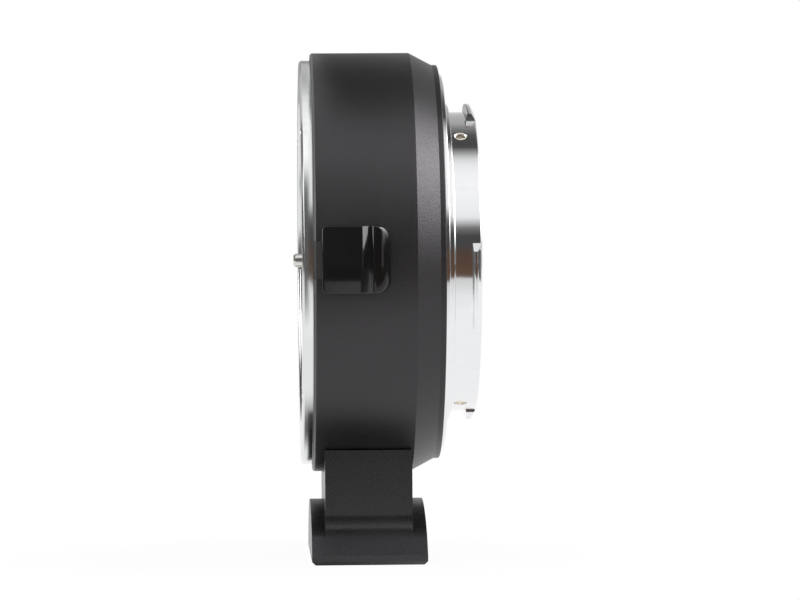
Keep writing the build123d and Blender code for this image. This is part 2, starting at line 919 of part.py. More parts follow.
def make_camera_contact_block():
    block = arc_block(
        -90,
        camera_block_half_span,
        camera_block_front,
        camera_block_back,
        camera_block_inner,
        camera_block_outer,
    )
    for angle in pad_angles():
        block -= spun(angle, contact_pad(seat_gap))
    return block - tube_screw_hole(tube_radius - tube_screw_length - fit_gap, tube_screw_angles[-1])


def make_camera_contacts():
    return [spun(angle, contact_pad(0)) for angle in pad_angles()]


def make_tripod_foot():
    neck = foot_base_half_width - dovetail_height
    bottom = -foot_height
    edge_top = bottom + foot_edge_height
    neck_level = edge_top + dovetail_height
    crown = neck_level + arch_rise
    base_outline = Curve() + [
        Polyline(
            (neck, neck_level),
            (foot_base_half_width, edge_top),
            (foot_base_half_width, bottom),
            (-foot_base_half_width, bottom),
            (-foot_base_half_width, edge_top),
            (-neck, neck_level),
        ),
        ThreePointArc((-neck, neck_level), (0, crown), (neck, neck_level)),
    ]
    base = extrude(Plane.YZ * make_face(base_outline.edges()), amount=foot_base_length / 2, both=True)
    base = chamfer(base.edges().group_by(Axis.Z)[0], foot_edge)
    cove_top = neck_level + neck - post_half_width
    post_outline = FilletPolyline(
        (-post_half_width, 0),
        (-post_half_width, cove_top),
        (-foot_base_half_width, edge_top),
        (foot_base_half_width, edge_top),
        (post_half_width, cove_top),
        (post_half_width, 0),
        radius=[0.0, post_cove, 0.0, 0.0, post_cove, 0.0],
        close=True,
    )
    post = extrude(Plane.YZ * make_face(post_outline.edges()), amount=post_length / 2, both=True)
    post = chamfer(post.edges().filter_by(Axis.Z), post_chamfer)
    foot = Pos(foot_center, 0, 0) * (base + post)
    saddle = barrel_radius + saddle_gap
    foot -= turned((0, 0), (0, saddle), (flange_gap, saddle), (flange_gap, 0))
    tripod_hole = Cylinder(tripod_thread_radius, tripod_thread_depth, align=STANDING)
    foot -= Pos(foot_center, 0, bottom) * tripod_hole
    for side in (-1, 1):
        shank = Cylinder(foot_screw_radius + fit_gap, foot_height, align=STANDING)
        head = Cylinder(
            foot_screw_head + fit_gap,
            foot_screw_head_height + foot_screw_recess,
            align=STANDING,
        )
        foot -= Pos(foot_center, side * foot_screw_spread, bottom) * (shank + head)
    return foot


def make_foot_screws():
    seat = -foot_height + foot_screw_recess
    wall_outer = math.sqrt(barrel_radius ** 2 - foot_screw_spread ** 2)
    tip = -wall_outer + foot_screw_reach
    shank = Cylinder(foot_screw_radius, tip - seat, align=STANDING)
    head = Cylinder(foot_screw_head, foot_screw_head_height, align=STANDING)
    socket = extrude(RegularPolygon(foot_screw_socket, 6), amount=foot_screw_head_height * 0.6)
    screw = head + shank - socket
    return [Pos(foot_center, side * foot_screw_spread, seat) * screw for side in (-1, 1)]


pieces = {
    "barrel": make_barrel(),
    "lens_bayonet_ring": make_lens_bayonet_ring(),
    "lens_mount_screws": make_lens_mount_screws(),
    "lens_mount_spring": make_lens_mount_spring(),
    "lens_index_mark": make_lens_index_mark(),
    "release_slider": make_release_slider(),
    "slider_carriage": make_slider_carriage(),
    "slider_screws": make_slider_screws(),
    "lock_pin": make_lock_pin(),
    "slider_guide": make_slider_guide(),
    "return_spring": make_return_spring(),
    "lens_contact_block": make_lens_contact_block(),
    "lens_contact_sleeves": make_lens_contact_sleeves(),
    "circuit_board": make_circuit_board(),
    "board_chips": make_board_chips(),
    "contact_block_screws": make_contact_block_screws(),
    "flex_ribbon": make_flex_ribbon(),
    "light_baffle": make_light_baffle(),
    "camera_bayonet": make_camera_bayonet(),
    "camera_mount_screws": make_camera_mount_screws(),
    "camera_index_mark": make_camera_index_mark(),
    "baffle_screws": make_baffle_screws(),
    "camera_contact_block": make_camera_contact_block(),
    "camera_contacts": make_camera_contacts(),
    "tripod_foot": make_tripod_foot(),
    "foot_screws": make_foot_screws(),
}
for number, angle in enumerate(contact_angles(), start=1):
    pieces[f"lens_contact_pin_{number}"] = make_lens_contact_pin(angle)

os.makedirs("parts", exist_ok=True)
for name, piece in pieces.items():
    solid = Compound(children=piece) if isinstance(piece, list) else piece
    export_step(solid, f"parts/{name}.step")
    print(name, "written")
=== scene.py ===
# %% [markdown]
# # A lens mount adapter
#
# The object joins a lens to a camera: a black barrel with a silver bayonet ring at the lens end, a chrome
# bayonet at the camera end, a thumb slider that pulls a lock pin back, and a tripod foot below.
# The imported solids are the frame. Most pieces are built again here with finer rounding, because a polished
# or turned surface shows every facet, and the rest keep their solids and get a finish.

# %% Load the frame
import json
import math

import bmesh
import bpy
from mathutils import Matrix, Vector

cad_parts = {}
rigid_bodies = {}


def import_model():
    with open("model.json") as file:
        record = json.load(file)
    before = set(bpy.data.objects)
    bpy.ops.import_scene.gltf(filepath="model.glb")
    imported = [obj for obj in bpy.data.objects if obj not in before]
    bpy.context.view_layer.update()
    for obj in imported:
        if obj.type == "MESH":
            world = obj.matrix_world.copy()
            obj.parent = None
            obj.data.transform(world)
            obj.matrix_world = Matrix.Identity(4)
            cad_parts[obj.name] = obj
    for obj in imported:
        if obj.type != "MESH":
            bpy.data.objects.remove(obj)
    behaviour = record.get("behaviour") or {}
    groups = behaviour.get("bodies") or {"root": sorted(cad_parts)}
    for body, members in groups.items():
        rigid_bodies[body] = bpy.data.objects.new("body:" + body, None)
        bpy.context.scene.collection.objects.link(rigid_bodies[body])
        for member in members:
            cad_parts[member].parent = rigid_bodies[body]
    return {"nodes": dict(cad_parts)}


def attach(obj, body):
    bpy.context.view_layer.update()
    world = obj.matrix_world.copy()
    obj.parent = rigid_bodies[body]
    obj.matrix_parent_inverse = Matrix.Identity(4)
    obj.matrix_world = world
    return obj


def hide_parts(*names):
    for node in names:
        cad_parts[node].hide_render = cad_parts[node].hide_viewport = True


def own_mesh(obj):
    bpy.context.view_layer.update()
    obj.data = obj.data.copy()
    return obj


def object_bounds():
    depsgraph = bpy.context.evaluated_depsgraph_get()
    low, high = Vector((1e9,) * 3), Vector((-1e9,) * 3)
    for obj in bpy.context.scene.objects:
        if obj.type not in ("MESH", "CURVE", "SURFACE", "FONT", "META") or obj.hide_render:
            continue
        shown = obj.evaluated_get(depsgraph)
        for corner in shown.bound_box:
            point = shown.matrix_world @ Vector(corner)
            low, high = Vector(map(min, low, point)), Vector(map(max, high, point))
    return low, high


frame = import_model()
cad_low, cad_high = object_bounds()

MM = 0.001
scene = bpy.context.scene

# %% [markdown]
# ## Writing shader sums as Python
#
# A finish is a formula: roughness is a base plus a little grain, and so on. Laying out Math nodes by hand
# hides that formula. A small class that wraps a socket and overloads the operators lets the formula stand
# in the script as it would on paper, and one function makes any other node from its settings and sockets.


# %% Sockets that take part in sums
class Term:
    """A node's output that can be added, multiplied and compared like a number."""

    def __init__(self, tree, socket):
        self.tree = tree
        self.socket = socket

    def maths(self, operation, first, second=0.0):
        return add_node(self.tree, "ShaderNodeMath", {"operation": operation}, {0: first, 1: second})

    def __add__(self, other):
        return self.maths("ADD", self, other)

    def __radd__(self, other):
        return self.maths("ADD", other, self)

    def __sub__(self, other):
        return self.maths("SUBTRACT", self, other)

    def __rsub__(self, other):
        return self.maths("SUBTRACT", other, self)

    def __mul__(self, other):
        return self.maths("MULTIPLY", self, other)

    def __rmul__(self, other):
        return self.maths("MULTIPLY", other, self)

    def __pow__(self, other):
        return self.maths("POWER", self, other)

    def __gt__(self, other):
        return self.maths("GREATER_THAN", self, other)

    def __lt__(self, other):
        return self.maths("LESS_THAN", self, other)

    def __neg__(self):
        return self.maths("MULTIPLY", self, -1.0)

    def sine(self):
        return self.maths("SINE", self)

    def cosine(self):
        return self.maths("COSINE", self)


def add_node(tree, kind, settings=None, sockets=None, output=0):
    """One node of any kind: its settings first, then the values or links of its sockets."""
    made = tree.nodes.new(kind)
    for name, value in (settings or {}).items():
        setattr(made, name, value)
    for name, value in (sockets or {}).items():
        if isinstance(value, Term):
            tree.links.new(value.socket, made.inputs[name])
        else:
            made.inputs[name].default_value = value
    return Term(tree, made.outputs[output])


def smoothstep(tree, value, start, end):
    """Soft rise from 0 at the start to 1 at the end."""
    sockets = {"Value": value, "From Min": start, "From Max": end}
    return add_node(tree, "ShaderNodeMapRange", {"interpolation_type": "SMOOTHSTEP"}, sockets)


print("sums ready")

# %% [markdown]
# ## A finish for each piece
#
# Every finish is a Principled shader on a fresh material. What changes over the surface goes into the base
# colour, the roughness and a bump, and everything else is set as a plain number. Patterns read Object
# coordinates in metres, so a grain of a tenth of a millimetre has a scale near ten thousand.


# %% The finish maker
RGBA_FACTOR, RGBA_A, RGBA_B, RGBA_RESULT = 0, 6, 7, 2


class Finish:
    """A material under construction, with the patterns that this object's finishes share."""

    def __init__(self, name):
        self.material = bpy.data.materials.new(name)
        self.material.use_nodes = True
        self.tree = self.material.node_tree
        self.shader = self.tree.nodes["Principled BSDF"]
        self.place = self.node("ShaderNodeTexCoord", output="Object")

    def node(self, kind, settings=None, sockets=None, output=0):
        return add_node(self.tree, kind, settings, sockets, output)

    def noise(self, size, detail=2.0, roughness=0.5, stretch=(1.0, 1.0, 1.0)):
        """Cloudy pattern whose blobs are about as large as size, in millimetres."""
        place = self.place
        if stretch != (1.0, 1.0, 1.0):
            place = self.node("ShaderNodeMapping", None, {"Vector": self.place, "Scale": stretch})
        sockets = {"Vector": place, "Scale": 1.0 / (size * MM), "Detail": detail, "Roughness": roughness}
        return self.node("ShaderNodeTexNoise", None, sockets)

    def axes(self):
        """The three coordinates, in metres, as separate terms."""
        split = self.tree.nodes.new("ShaderNodeSeparateXYZ")
        self.tree.links.new(self.place.socket, split.inputs[0])
        return [Term(self.tree, out) for out in split.outputs]

    def radius(self):
        """Distance from the optical axis, in metres."""
        x, y, z = self.axes()
        return (y * y + z * z) ** 0.5

    def lines(self, distance, pitch):
        """Uneven fine lines across a distance, as a turning tool leaves them; pitch in millimetres."""
        sockets = {"W": distance, "Scale": 1.0 / (pitch * MM), "Detail": 3.0, "Roughness": 0.7}
        return self.node("ShaderNodeTexNoise", {"noise_dimensions": "1D"}, sockets)

    def mix(self, factor, first, second):
        """Blend of two colours."""
        first, second = (c if isinstance(c, Term) else (*c, 1.0) for c in (first, second))
        sockets = {RGBA_FACTOR: factor, RGBA_A: first, RGBA_B: second}
        return self.node("ShaderNodeMix", {"data_type": "RGBA"}, sockets, RGBA_RESULT)

    def bump(self, height, depth, strength=1.0):
        """Surface normal from a height between 0 and 1; depth in millimetres."""
        sockets = {"Height": height, "Distance": depth * MM, "Strength": strength}
        return self.node("ShaderNodeBump", None, sockets)

    def done(self, **sockets):
        """Fill the shader's sockets, named with spaces written as underscores."""
        for name, value in sockets.items():
            target = self.shader.inputs[name.replace("_", " ")]
            if isinstance(value, Term):
                self.tree.links.new(value.socket, target)
            elif isinstance(value, tuple):
                target.default_value = (*value, 1.0)
            else:
                target.default_value = value
        print("finish:", self.material.name)
        return self.material


# %% [markdown]
# ## Black anodised metal
#
# Barrel and foot are aluminium that was bead blasted and dyed black. The beads leave dimples of about a
# quarter of a millimetre, which spread the light into a soft, grey sheen. A bump from fine noise gives the
# dimples, and the same noise moves the roughness a little, so that the sheen sparkles instead of lying flat.
# The barrel's front edge is painted paler as a painted highlight, and the foot's base is painted paler as
# painted light, leaving the arch above dark as painted shade under the barrel.


# %% Black anodised metal
# The first colour is a painted highlight on the barrel's front edge; the second is the foot's base painted
# paler as painted light, below the arch that stays dark as painted shade.
EDGE_HIGHLIGHT_TINT = (0.10, 0.10, 0.10)
PAINTED_LIGHT_BASE = (0.034, 0.033, 0.035)
PAINTED_LIGHT_FADE, LIP_TOP = 2.2 * MM, -48.4 * MM
DYE_CAST = (1.0, 0.95, 1.0)


def anodised_black(name, dark, light, grain, depth, roughness, highlight_to=0.0, painted_light_to=0.0):
    """Black anodising with painted light: a painted highlight on the front edge up to a place along the axis,
    and the base painted paler up to a height, both in metres."""
    finish = Finish(name)
    dimples = finish.noise(grain, 3.0, 0.65)
    clouds = finish.noise(9.0, 2.0)
    tint = finish.mix(clouds * 0.6 + dimples * 0.4, dark, light)
    x, y, z = finish.axes()
    if highlight_to:
        # Painted highlight: the barrel's front face and chamfer are painted paler, as if lit.
        tint = finish.mix((x < highlight_to) * (0.55 + clouds * 0.6), tint, EDGE_HIGHLIGHT_TINT)
    # Painted light: the foot's base below a height is painted paler, most on the dovetail's slope above the
    # lip, so that the arch above reads as shaded.
    if painted_light_to:
        below = 1 - smoothstep(finish.tree, z, painted_light_to, painted_light_to + PAINTED_LIGHT_FADE)
        tint = finish.mix(below * (0.2 + (z > LIP_TOP) * 0.55 + clouds * 0.3), tint, PAINTED_LIGHT_BASE)
    rough = roughness + (dimples - 0.5) * 0.22 + (clouds - 0.5) * 0.08
    return finish.done(
        Base_Color=tint,
        Roughness=rough,
        IOR=1.55,
        Specular_Tint=DYE_CAST,
        Normal=finish.bump(dimples, depth, 0.9),
    )


# Where the painted highlight on the barrel's front edge ends along the axis, and the height up to which the
# foot's base is painted paler as painted light.
EDGE_HIGHLIGHT_END, PAINTED_LIGHT_TOP = 2.2 * MM, -46.2 * MM
barrel_black = anodised_black(
    "barrel_black", (0.008, 0.0078, 0.0082), (0.015, 0.0146, 0.0154), 0.34, 0.034, 0.37, highlight_to=EDGE_HIGHLIGHT_END)
foot_black = anodised_black(
    "foot_black", (0.007, 0.0068, 0.0072), (0.011, 0.0107, 0.0113), 0.20, 0.012, 0.28, painted_light_to=PAINTED_LIGHT_TOP)

# %% [markdown]
# ## Turned and plated metal
#
# The silver ring is turned stainless steel: the tool leaves rings round the axis that show as a fine satin.
# One-dimensional noise over the distance from the axis (and along it on the rim) gives such rings at no cost.
# The chrome is plated and polished, so it only gets faint wipe marks and a trace of waviness.


# %% Turned and plated metal
def turned_steel(name, dark, light, pitch, depth, roughness):
    finish = Finish(name)
    x, y, z = finish.axes()
    cut = finish.lines(finish.radius() + x * 1.7, pitch)
    haze = finish.noise(6.0, 3.0)
    tint = finish.mix(haze * 0.5 + cut * 0.5, dark, light)
    rough = roughness + (cut - 0.5) * 0.10 + (haze - 0.5) * 0.04
    return finish.done(
        Base_Color=tint,
        Metallic=1.0,
        Roughness=rough,
        Normal=finish.bump(cut, depth, 0.6),
    )


def polished_plate(name, dark, light, roughness):
    finish = Finish(name)
    wipes = finish.noise(1.4, 4.0, 0.7, (0.25, 1.0, 1.0))
    swell = finish.noise(7.0, 1.0)
    tint = finish.mix(wipes, dark, light)
    rough = roughness + wipes * wipes * 0.1
    return finish.done(
        Base_Color=tint,
        Metallic=1.0,
        Roughness=rough,
        Normal=finish.bump(swell, 0.012, 0.35),
    )


ring_steel = turned_steel("ring_steel", (0.70, 0.71, 0.71), (0.81, 0.82, 0.82), 0.09, 0.0015, 0.16)
spring_steel = turned_steel("spring_steel", (0.44, 0.43, 0.41), (0.58, 0.57, 0.55), 0.2, 0.004, 0.30)
screw_nickel = turned_steel("screw_nickel", (0.62, 0.60, 0.57), (0.76, 0.74, 0.71), 0.12, 0.004, 0.20)
screw_black = turned_steel("screw_black", (0.05, 0.05, 0.052), (0.09, 0.09, 0.093), 0.12, 0.004, 0.34)
screw_warm = turned_steel("screw_warm", (0.78, 0.71, 0.60), (0.89, 0.83, 0.73), 0.12, 0.004, 0.22)
chrome = polished_plate("chrome", (0.80, 0.805, 0.815), (0.88, 0.885, 0.895), 0.07)
contact_gold = polished_plate("contact_gold", (0.72, 0.50, 0.19), (0.86, 0.66, 0.30), 0.16)

# %% [markdown]
# ## Mouldings
#
# The slider is polished black plastic, the contact blocks have the fine matt of an eroded mould, and the
# lining inside is nearly without reflection, because light off its walls would veil the picture. All three
# come from one recipe with another grain, roughness and depth.


# %% Mouldings
def moulded(name, dark, light, grain, depth, roughness, spread):
    finish = Finish(name)
    skin = finish.noise(grain, 3.0, 0.6)
    flow = finish.noise(5.0, 2.0)
    tint = finish.mix(flow * 0.7 + skin * 0.3, dark, light)
    rough = roughness + (skin - 0.5) * spread + (flow - 0.5) * spread * 0.5
    return finish.done(
        Base_Color=tint,
        Roughness=rough,
        IOR=1.5,
        Normal=finish.bump(skin, depth, 0.8),
    )


slider_gloss = moulded("slider_gloss", (0.004, 0.004, 0.0045), (0.008, 0.008, 0.009), 1.6, 0.004, 0.09, 0.06)
block_matt = moulded("block_matt", (0.012, 0.012, 0.0125), (0.022, 0.022, 0.023), 0.12, 0.012, 0.48, 0.2)
lining_matt = moulded("lining_matt", (0.006, 0.006, 0.006), (0.011, 0.011, 0.011), 0.18, 0.03, 0.82, 0.2)
guide_matt = moulded("guide_matt", (0.022, 0.022, 0.022), (0.034, 0.034, 0.034), 0.12, 0.010, 0.55, 0.2)
chip_matt = moulded("chip_matt", (0.012, 0.012, 0.012), (0.02, 0.02, 0.02), 0.08, 0.006, 0.55, 0.15)
mark_red = moulded("mark_red", (0.42, 0.008, 0.008), (0.56, 0.014, 0.012), 0.5, 0.004, 0.22, 0.1)

# %% [markdown]
# ## Circuit board and flat lead
#
# Behind the contacts lies a small board, and a flat lead runs from it to the camera side. Copper tracks under
# the green mask and in the amber film are told apart by a band pattern: a sine over one coordinate, cut at a
# level, is the cheapest track there is. The tracks also stand a hair proud, which the bump shows.


# %% Circuit board and flat lead
def tracked(name, film, copper, pitch, axis, roughness):
    finish = Finish(name)
    along = finish.axes()[axis]
    wander = finish.noise(3.0, 2.0)
    wave = (along * (2 * math.pi / (pitch * MM)) + wander * 2.0).sine()
    track = finish.node("ShaderNodeMapRange", None, {"Value": wave, "From Min": 0.1, "From Max": 0.35})
    grain = finish.noise(0.3, 2.0)
    return finish.done(
        Base_Color=finish.mix(track, film, copper),
        Roughness=roughness + (grain - 0.5) * 0.15 - track * 0.05,
        Normal=finish.bump(track + grain * 0.1, 0.02, 0.8),
    )


board_green = tracked("board_green", (0.008, 0.09, 0.035), (0.02, 0.17, 0.06), 0.9, 1, 0.34)
lead_amber = tracked("lead_amber", (0.42, 0.20, 0.035), (0.55, 0.27, 0.10), 0.8, 1, 0.30)

# %% [markdown]
# ## Turning a piece
#
# Nearly everything here came off a lathe, so the main tool is a lathe too: an outline of (x, radius) corners
# in millimetres, each with its own rounding, is carried round the optical axis. Blender's Screw modifier
# would do the same, but points placed one by one give even rows and exact places for the later cuts.
# An angle is counted from the slider's side upwards, as in the drawing.

# %% The lathe
ROUNDING_STEPS = 4
FULL_TURN = 360.0
LATHE_STEPS = 320


def rounded(corners, steps=ROUNDING_STEPS):
    """Closed outline of (x, radius, rounding) corners with each rounding drawn as an arc."""
    points = []
    for number, (x, y, rounding) in enumerate(corners):
        here = Vector((x, y))
        if rounding <= 0:
            points.append((x, y))
            continue
        before = (Vector(corners[number - 1][:2]) - here).normalized()
        after = (Vector(corners[(number + 1) % len(corners)][:2]) - here).normalized()
        half = before.angle(after) / 2
        middle = here + (before + after).normalized() * (rounding / math.sin(half))
        first = here + before * (rounding / math.tan(half)) - middle
        last = here + after * (rounding / math.tan(half)) - middle
        bearing = math.atan2(first.y, first.x)
        sweep = math.remainder(math.atan2(last.y, last.x) - bearing, 2 * math.pi)
        for step in range(steps + 1):
            heading = bearing + sweep * step / steps
            points.append((middle.x + rounding * math.cos(heading), middle.y + rounding * math.sin(heading)))
    return points


def on_axis(x, radius, degrees):
    """Point at a distance from the optical axis."""
    turn = math.radians(degrees)
    return (x, -radius * math.cos(turn), radius * math.sin(turn))


def mesh_from(points, faces):
    """Closed mesh with merged corners and faces that look outwards."""
    mesh = bpy.data.meshes.new("work")
    mesh.from_pydata(points, [], faces)
    work = bmesh.new()
    work.from_mesh(mesh)
    bmesh.ops.remove_doubles(work, verts=work.verts, dist=1e-5)
    bmesh.ops.recalc_face_normals(work, faces=work.faces)
    work.to_mesh(mesh)
    work.free()
    return mesh


def lathe(outline, start=0.0, end=FULL_TURN):
    """An outline carried round the optical axis, all the way or between two angles."""
    closed = end - start >= FULL_TURN
    spans = max(2, round(LATHE_STEPS * (end - start) / FULL_TURN))
    rows = spans if closed else spans + 1
    size = len(outline)
    points = []
    for row in range(rows):
        points += [on_axis(x, r, start + (end - start) * row / spans) for x, r in outline]
    faces = []
    for row in range(spans):
        here, there = row * size, (row + 1) % rows * size
        for k in range(size):
            m = (k + 1) % size
            faces.append((here + k, here + m, there + m, there + k))
    if not closed:
        faces.append(tuple(range(size)))
        faces.append(tuple(range((rows - 1) * size, rows * size)))
    return mesh_from(points, faces)


def spindle(outline, steps=48):
    """An outline of (height, radius) corners turned about its own axis, which points along +Z."""
    points, faces = [], []
    size = len(outline)
    for row in range(steps):
        turn = 2 * math.pi * row / steps
        points += [(r * math.cos(turn), r * math.sin(turn), h) for h, r in outline]
    for row in range(steps):
        here, there = row * size, (row + 1) % steps * size
        faces += [(here + k, here + k + 1, there + k + 1, there + k) for k in range(size - 1)]
    return mesh_from(points, faces)


print("lathe ready")

# %% [markdown]
# ## Cutting and joining
#
# Slots, screw holes and bayonet lugs break the roundness of a turned piece. The Boolean modifier with the
# exact solver handles them all in one go when the cutters lie in one collection. The work is done in
# millimetres and scaled down at the end, because the solver is steadier on sizes near one.

# %% Boolean work
SMOOTH_ANGLE, EDGE_ANGLE = math.radians(36), math.radians(32)
BOX_FACES = [(0, 1, 3, 2), (4, 6, 7, 5), (0, 4, 5, 1), (2, 3, 7, 6), (0, 2, 6, 4), (1, 5, 7, 3)]


def linked(name, data):
    """Object in the scene that holds a mesh, a lamp or a camera."""
    made = bpy.data.objects.new(name, data)
    scene.collection.objects.link(made)
    return made


def applied(piece):
    """Mesh of an object after its modifiers; the object itself goes."""
    shown = piece.evaluated_get(bpy.context.evaluated_depsgraph_get())
    result = bpy.data.meshes.new_from_object(shown)
    bpy.data.objects.remove(piece)
    return result


def worked(base, tools, operation):
    """A mesh with tool meshes cut away from it or joined to it."""
    holder = bpy.data.collections.new("tools")
    scene.collection.children.link(holder)
    for tool in tools:
        holder.objects.link(bpy.data.objects.new("tool", tool))
    piece = linked("work", base)
    change = piece.modifiers.new("work", "BOOLEAN")
    change.operation = operation
    change.operand_type = "COLLECTION"
    change.collection = holder
    change.solver = "EXACT"
    result = applied(piece)
    for tool in list(holder.objects):
        bpy.data.objects.remove(tool)
    bpy.data.collections.remove(holder)
    return result


def cut(base, tools):
    return worked(base, tools, "DIFFERENCE")


def joined(base, tools):
    return worked(base, tools, "UNION")


def placed(mesh, *steps):
    """A copy of a mesh after moves and turns, the last one named first."""
    copy = mesh.copy()
    for step in reversed(steps):
        copy.transform(step)
    return copy


def move(x, y, z):
    return Matrix.Translation((x, y, z))


def turn(degrees, axis):
    return Matrix.Rotation(math.radians(degrees), 4, axis)


def spun(degrees):
    """Turn from the slider's side to another angle."""
    return turn(-degrees, "X")


def bar(radius, x_front, x_back, orbit, degrees, steps=40):
    """Round bar along the optical axis."""
    length = x_back - x_front
    rod = spindle([(0, 0), (0, radius), (length, radius), (length, 0)], steps)
    return placed(rod, spun(degrees), move(x_front, -orbit, 0), turn(90, "Y"))


def block(x_range, y_range, z_range):
    """Plain box between two corners."""
    return mesh_from([(x, y, z) for x in x_range for y in y_range for z in z_range], BOX_FACES)


def loft(levels):
    """Outlines of (y, z) corners, each at its own place along the optical axis, with skin between them."""
    size = len(levels[0][1])
    points = [(x, y, z) for x, outline in levels for y, z in outline]
    faces = []
    for first in range(0, size * (len(levels) - 1), size):
        for k in range(size):
            here, there = first + k, first + (k + 1) % size
            faces.append((here, there, there + size, here + size))
    faces += [tuple(range(size)), tuple(range(len(points) - size, len(points)))]
    return mesh_from(points, faces)


def prism(outline, x_front, x_back):
    """An outline of (y, z) corners drawn out along the optical axis."""
    return loft([(x_front, outline), (x_back, outline)])


def softened(mesh, width):
    """The mesh with its sharp edges broken by a small rounding, and its flat faces kept flat."""
    mesh.shade_smooth()
    piece = linked("work", mesh)
    change = piece.modifiers.new("edges", "BEVEL")
    change.limit_method = "ANGLE"
    change.angle_limit = EDGE_ANGLE
    change.width = width
    change.segments = 2
    flat = piece.modifiers.new("flat_faces", "WEIGHTED_NORMAL")
    flat.keep_sharp = True
    flat.weight = 100
    return applied(piece)


def finished(name, mesh, body, finish, node, smooth=SMOOTH_ANGLE):
    """Bring a mesh to metres and make it a piece that rides on a body in place of a solid."""
    mesh.transform(Matrix.Scale(MM, 4))
    mesh.name = name
    mesh.materials.clear()
    mesh.materials.append(finish)
    if smooth:
        mesh.shade_smooth()
        mesh.set_sharp_from_angle(angle=smooth)
    piece = linked(name, mesh)
    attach(piece, body)
    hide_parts(node)
    print("piece:", name, len(mesh.polygons), "faces")
    return piece


# %% [markdown]
# ## The barrel
#
# One turned shell: a straight front, a cone towards the camera and a short band at the end. Its edges are
# broken by about a tenth of a millimetre, and those breaks catch the light in the photograph as thin grey
# lines. The slot for the slider's stem, the screw holes and the spring's pocket are cut afterwards.

# %% Barrel sizes and outline
GAP = 0.1
SEAT = 0.02
THROAT = 27.0
BARREL_RADIUS = 35.45
BARREL_FRONT = 1.9
FRONT_CHAMFER = 0.25
BARREL_BACK = 23.3
CONE_START, CONE_END = 18.55, 22.4
BAND_RADIUS = 33.4
CAVITY_RADIUS = 32.85
WEB_BACK = 4.4
REAR_WEB = 19.6
FLANGE_SEAT = 22.2
FLANGE_RADIUS = 31.8
WEB_BORE, REAR_BORE = THROAT + 0.3, 26.9
LEAF_OUTER, LEAF_DEPTH = 28.165, 0.25
PIN_ORBIT = 30.065
PIN_RADIUS = 1.1
SCREW_RADIUS = 1.0
LENS_SCREWS = (45.0, 135.0, 225.0, 315.0)
LENS_ORBIT = 30.6
CAMERA_SCREWS = (32.0, 122.0, 228.0, 318.0)
CAMERA_ORBIT = 29.3
FOOT_CENTRE = 10.95
FOOT_SCREW_SPREAD = 12.5
FOOT_THREAD = 1.52
SLOT_HALF, SLOT_END = 3.1, 12.9
POCKET_RADIUS, POCKET_DEPTH = 1.1, 0.6

barrel_outline = rounded([
    (BARREL_FRONT, LEAF_OUTER + GAP, 0.05),
    (BARREL_FRONT, BARREL_RADIUS - FRONT_CHAMFER, 0.08),
    (BARREL_FRONT + FRONT_CHAMFER, BARREL_RADIUS, 0.12),
    (CONE_START, BARREL_RADIUS, 0.3),
    (CONE_END, BAND_RADIUS, 0.25),
    (BARREL_BACK, BAND_RADIUS, 0.18),
    (BARREL_BACK, FLANGE_RADIUS + GAP, 0.12),
    (FLANGE_SEAT, FLANGE_RADIUS + GAP, 0.05),
    (FLANGE_SEAT, REAR_BORE, 0.1),
    (REAR_WEB, REAR_BORE, 0.1),
    (REAR_WEB, CAVITY_RADIUS, 0.4),
    (WEB_BACK, CAVITY_RADIUS, 0.4),
    (WEB_BACK, WEB_BORE, 0.1),
    (BARREL_FRONT + LEAF_DEPTH, WEB_BORE, 0.05),
    (BARREL_FRONT + LEAF_DEPTH, LEAF_OUTER + GAP, 0.0),
])
print("barrel outline:", len(barrel_outline), "points")

# %% Barrel
outside = -BARREL_RADIUS - 2
barrel_cuts = [block((BARREL_FRONT - 1, SLOT_END), (outside, -THROAT - 0.1), (-SLOT_HALF, SLOT_HALF))]
for degrees in LENS_SCREWS:
    barrel_cuts.append(bar(SCREW_RADIUS + SEAT, BARREL_FRONT - 1, WEB_BACK + 1, LENS_ORBIT, degrees))
for degrees in CAMERA_SCREWS:
    barrel_cuts.append(bar(SCREW_RADIUS + SEAT, REAR_WEB - 1, FLANGE_SEAT + 0.5, CAMERA_ORBIT, degrees))
barrel_cuts.append(bar(POCKET_RADIUS, REAR_WEB - 1, REAR_WEB + POCKET_DEPTH, PIN_ORBIT, 0))
foot_hole = spindle([(outside, 0), (outside, FOOT_THREAD), (-20, FOOT_THREAD), (-20, 0)])
for side in (-1, 1):
    barrel_cuts.append(placed(foot_hole, move(FOOT_CENTRE, side * FOOT_SCREW_SPREAD, 0)))

barrel_mesh = cut(lathe(barrel_outline), barrel_cuts)
finished("barrel_shell", barrel_mesh, "housing", barrel_black, "barrel")

# %% [markdown]
# ## The lens bayonet ring
#
# A flat turned ring with three claws that reach into the throat and hold the lens. The claws are part turns
# of their own little outline, joined to the ring, and the countersinks are cut with the shape of the screw.

# %% Lens bayonet ring
RING_RADIUS, RING_THICKNESS, RING_BEVEL = 34.2, 1.9, 0.32
CLAWS = (90.0, 210.0, 330.0)
CLAW_HALF_SPAN = 28.0
CLAW_FRONT, CLAW_BACK, CLAW_INNER, CLAW_OUTER = 0.3, 1.5, 25.6, 28.4
HEAD_RADIUS, HEAD_HEIGHT = 1.8, 1.0
SINK = 0.05
MARK_RADIUS, MARK_DEPTH = 0.9, 0.5
LENS_MARK = 90.0

ring_mesh = lathe(rounded([
    (0.0, THROAT, 0.18),
    (0.0, RING_RADIUS - RING_BEVEL, 0.06),
    (RING_BEVEL, RING_RADIUS, 0.06),
    (RING_THICKNESS, RING_RADIUS, 0.10),
    (RING_THICKNESS, THROAT, 0.12),
]))
claw_outline = rounded([
    (CLAW_FRONT, CLAW_INNER, 0.2), (CLAW_FRONT, CLAW_OUTER, 0.0),
    (CLAW_BACK, CLAW_OUTER, 0.0), (CLAW_BACK, CLAW_INNER, 0.2),
])
ring_mesh = joined(ring_mesh, [lathe(claw_outline, a - CLAW_HALF_SPAN, a + CLAW_HALF_SPAN) for a in CLAWS])

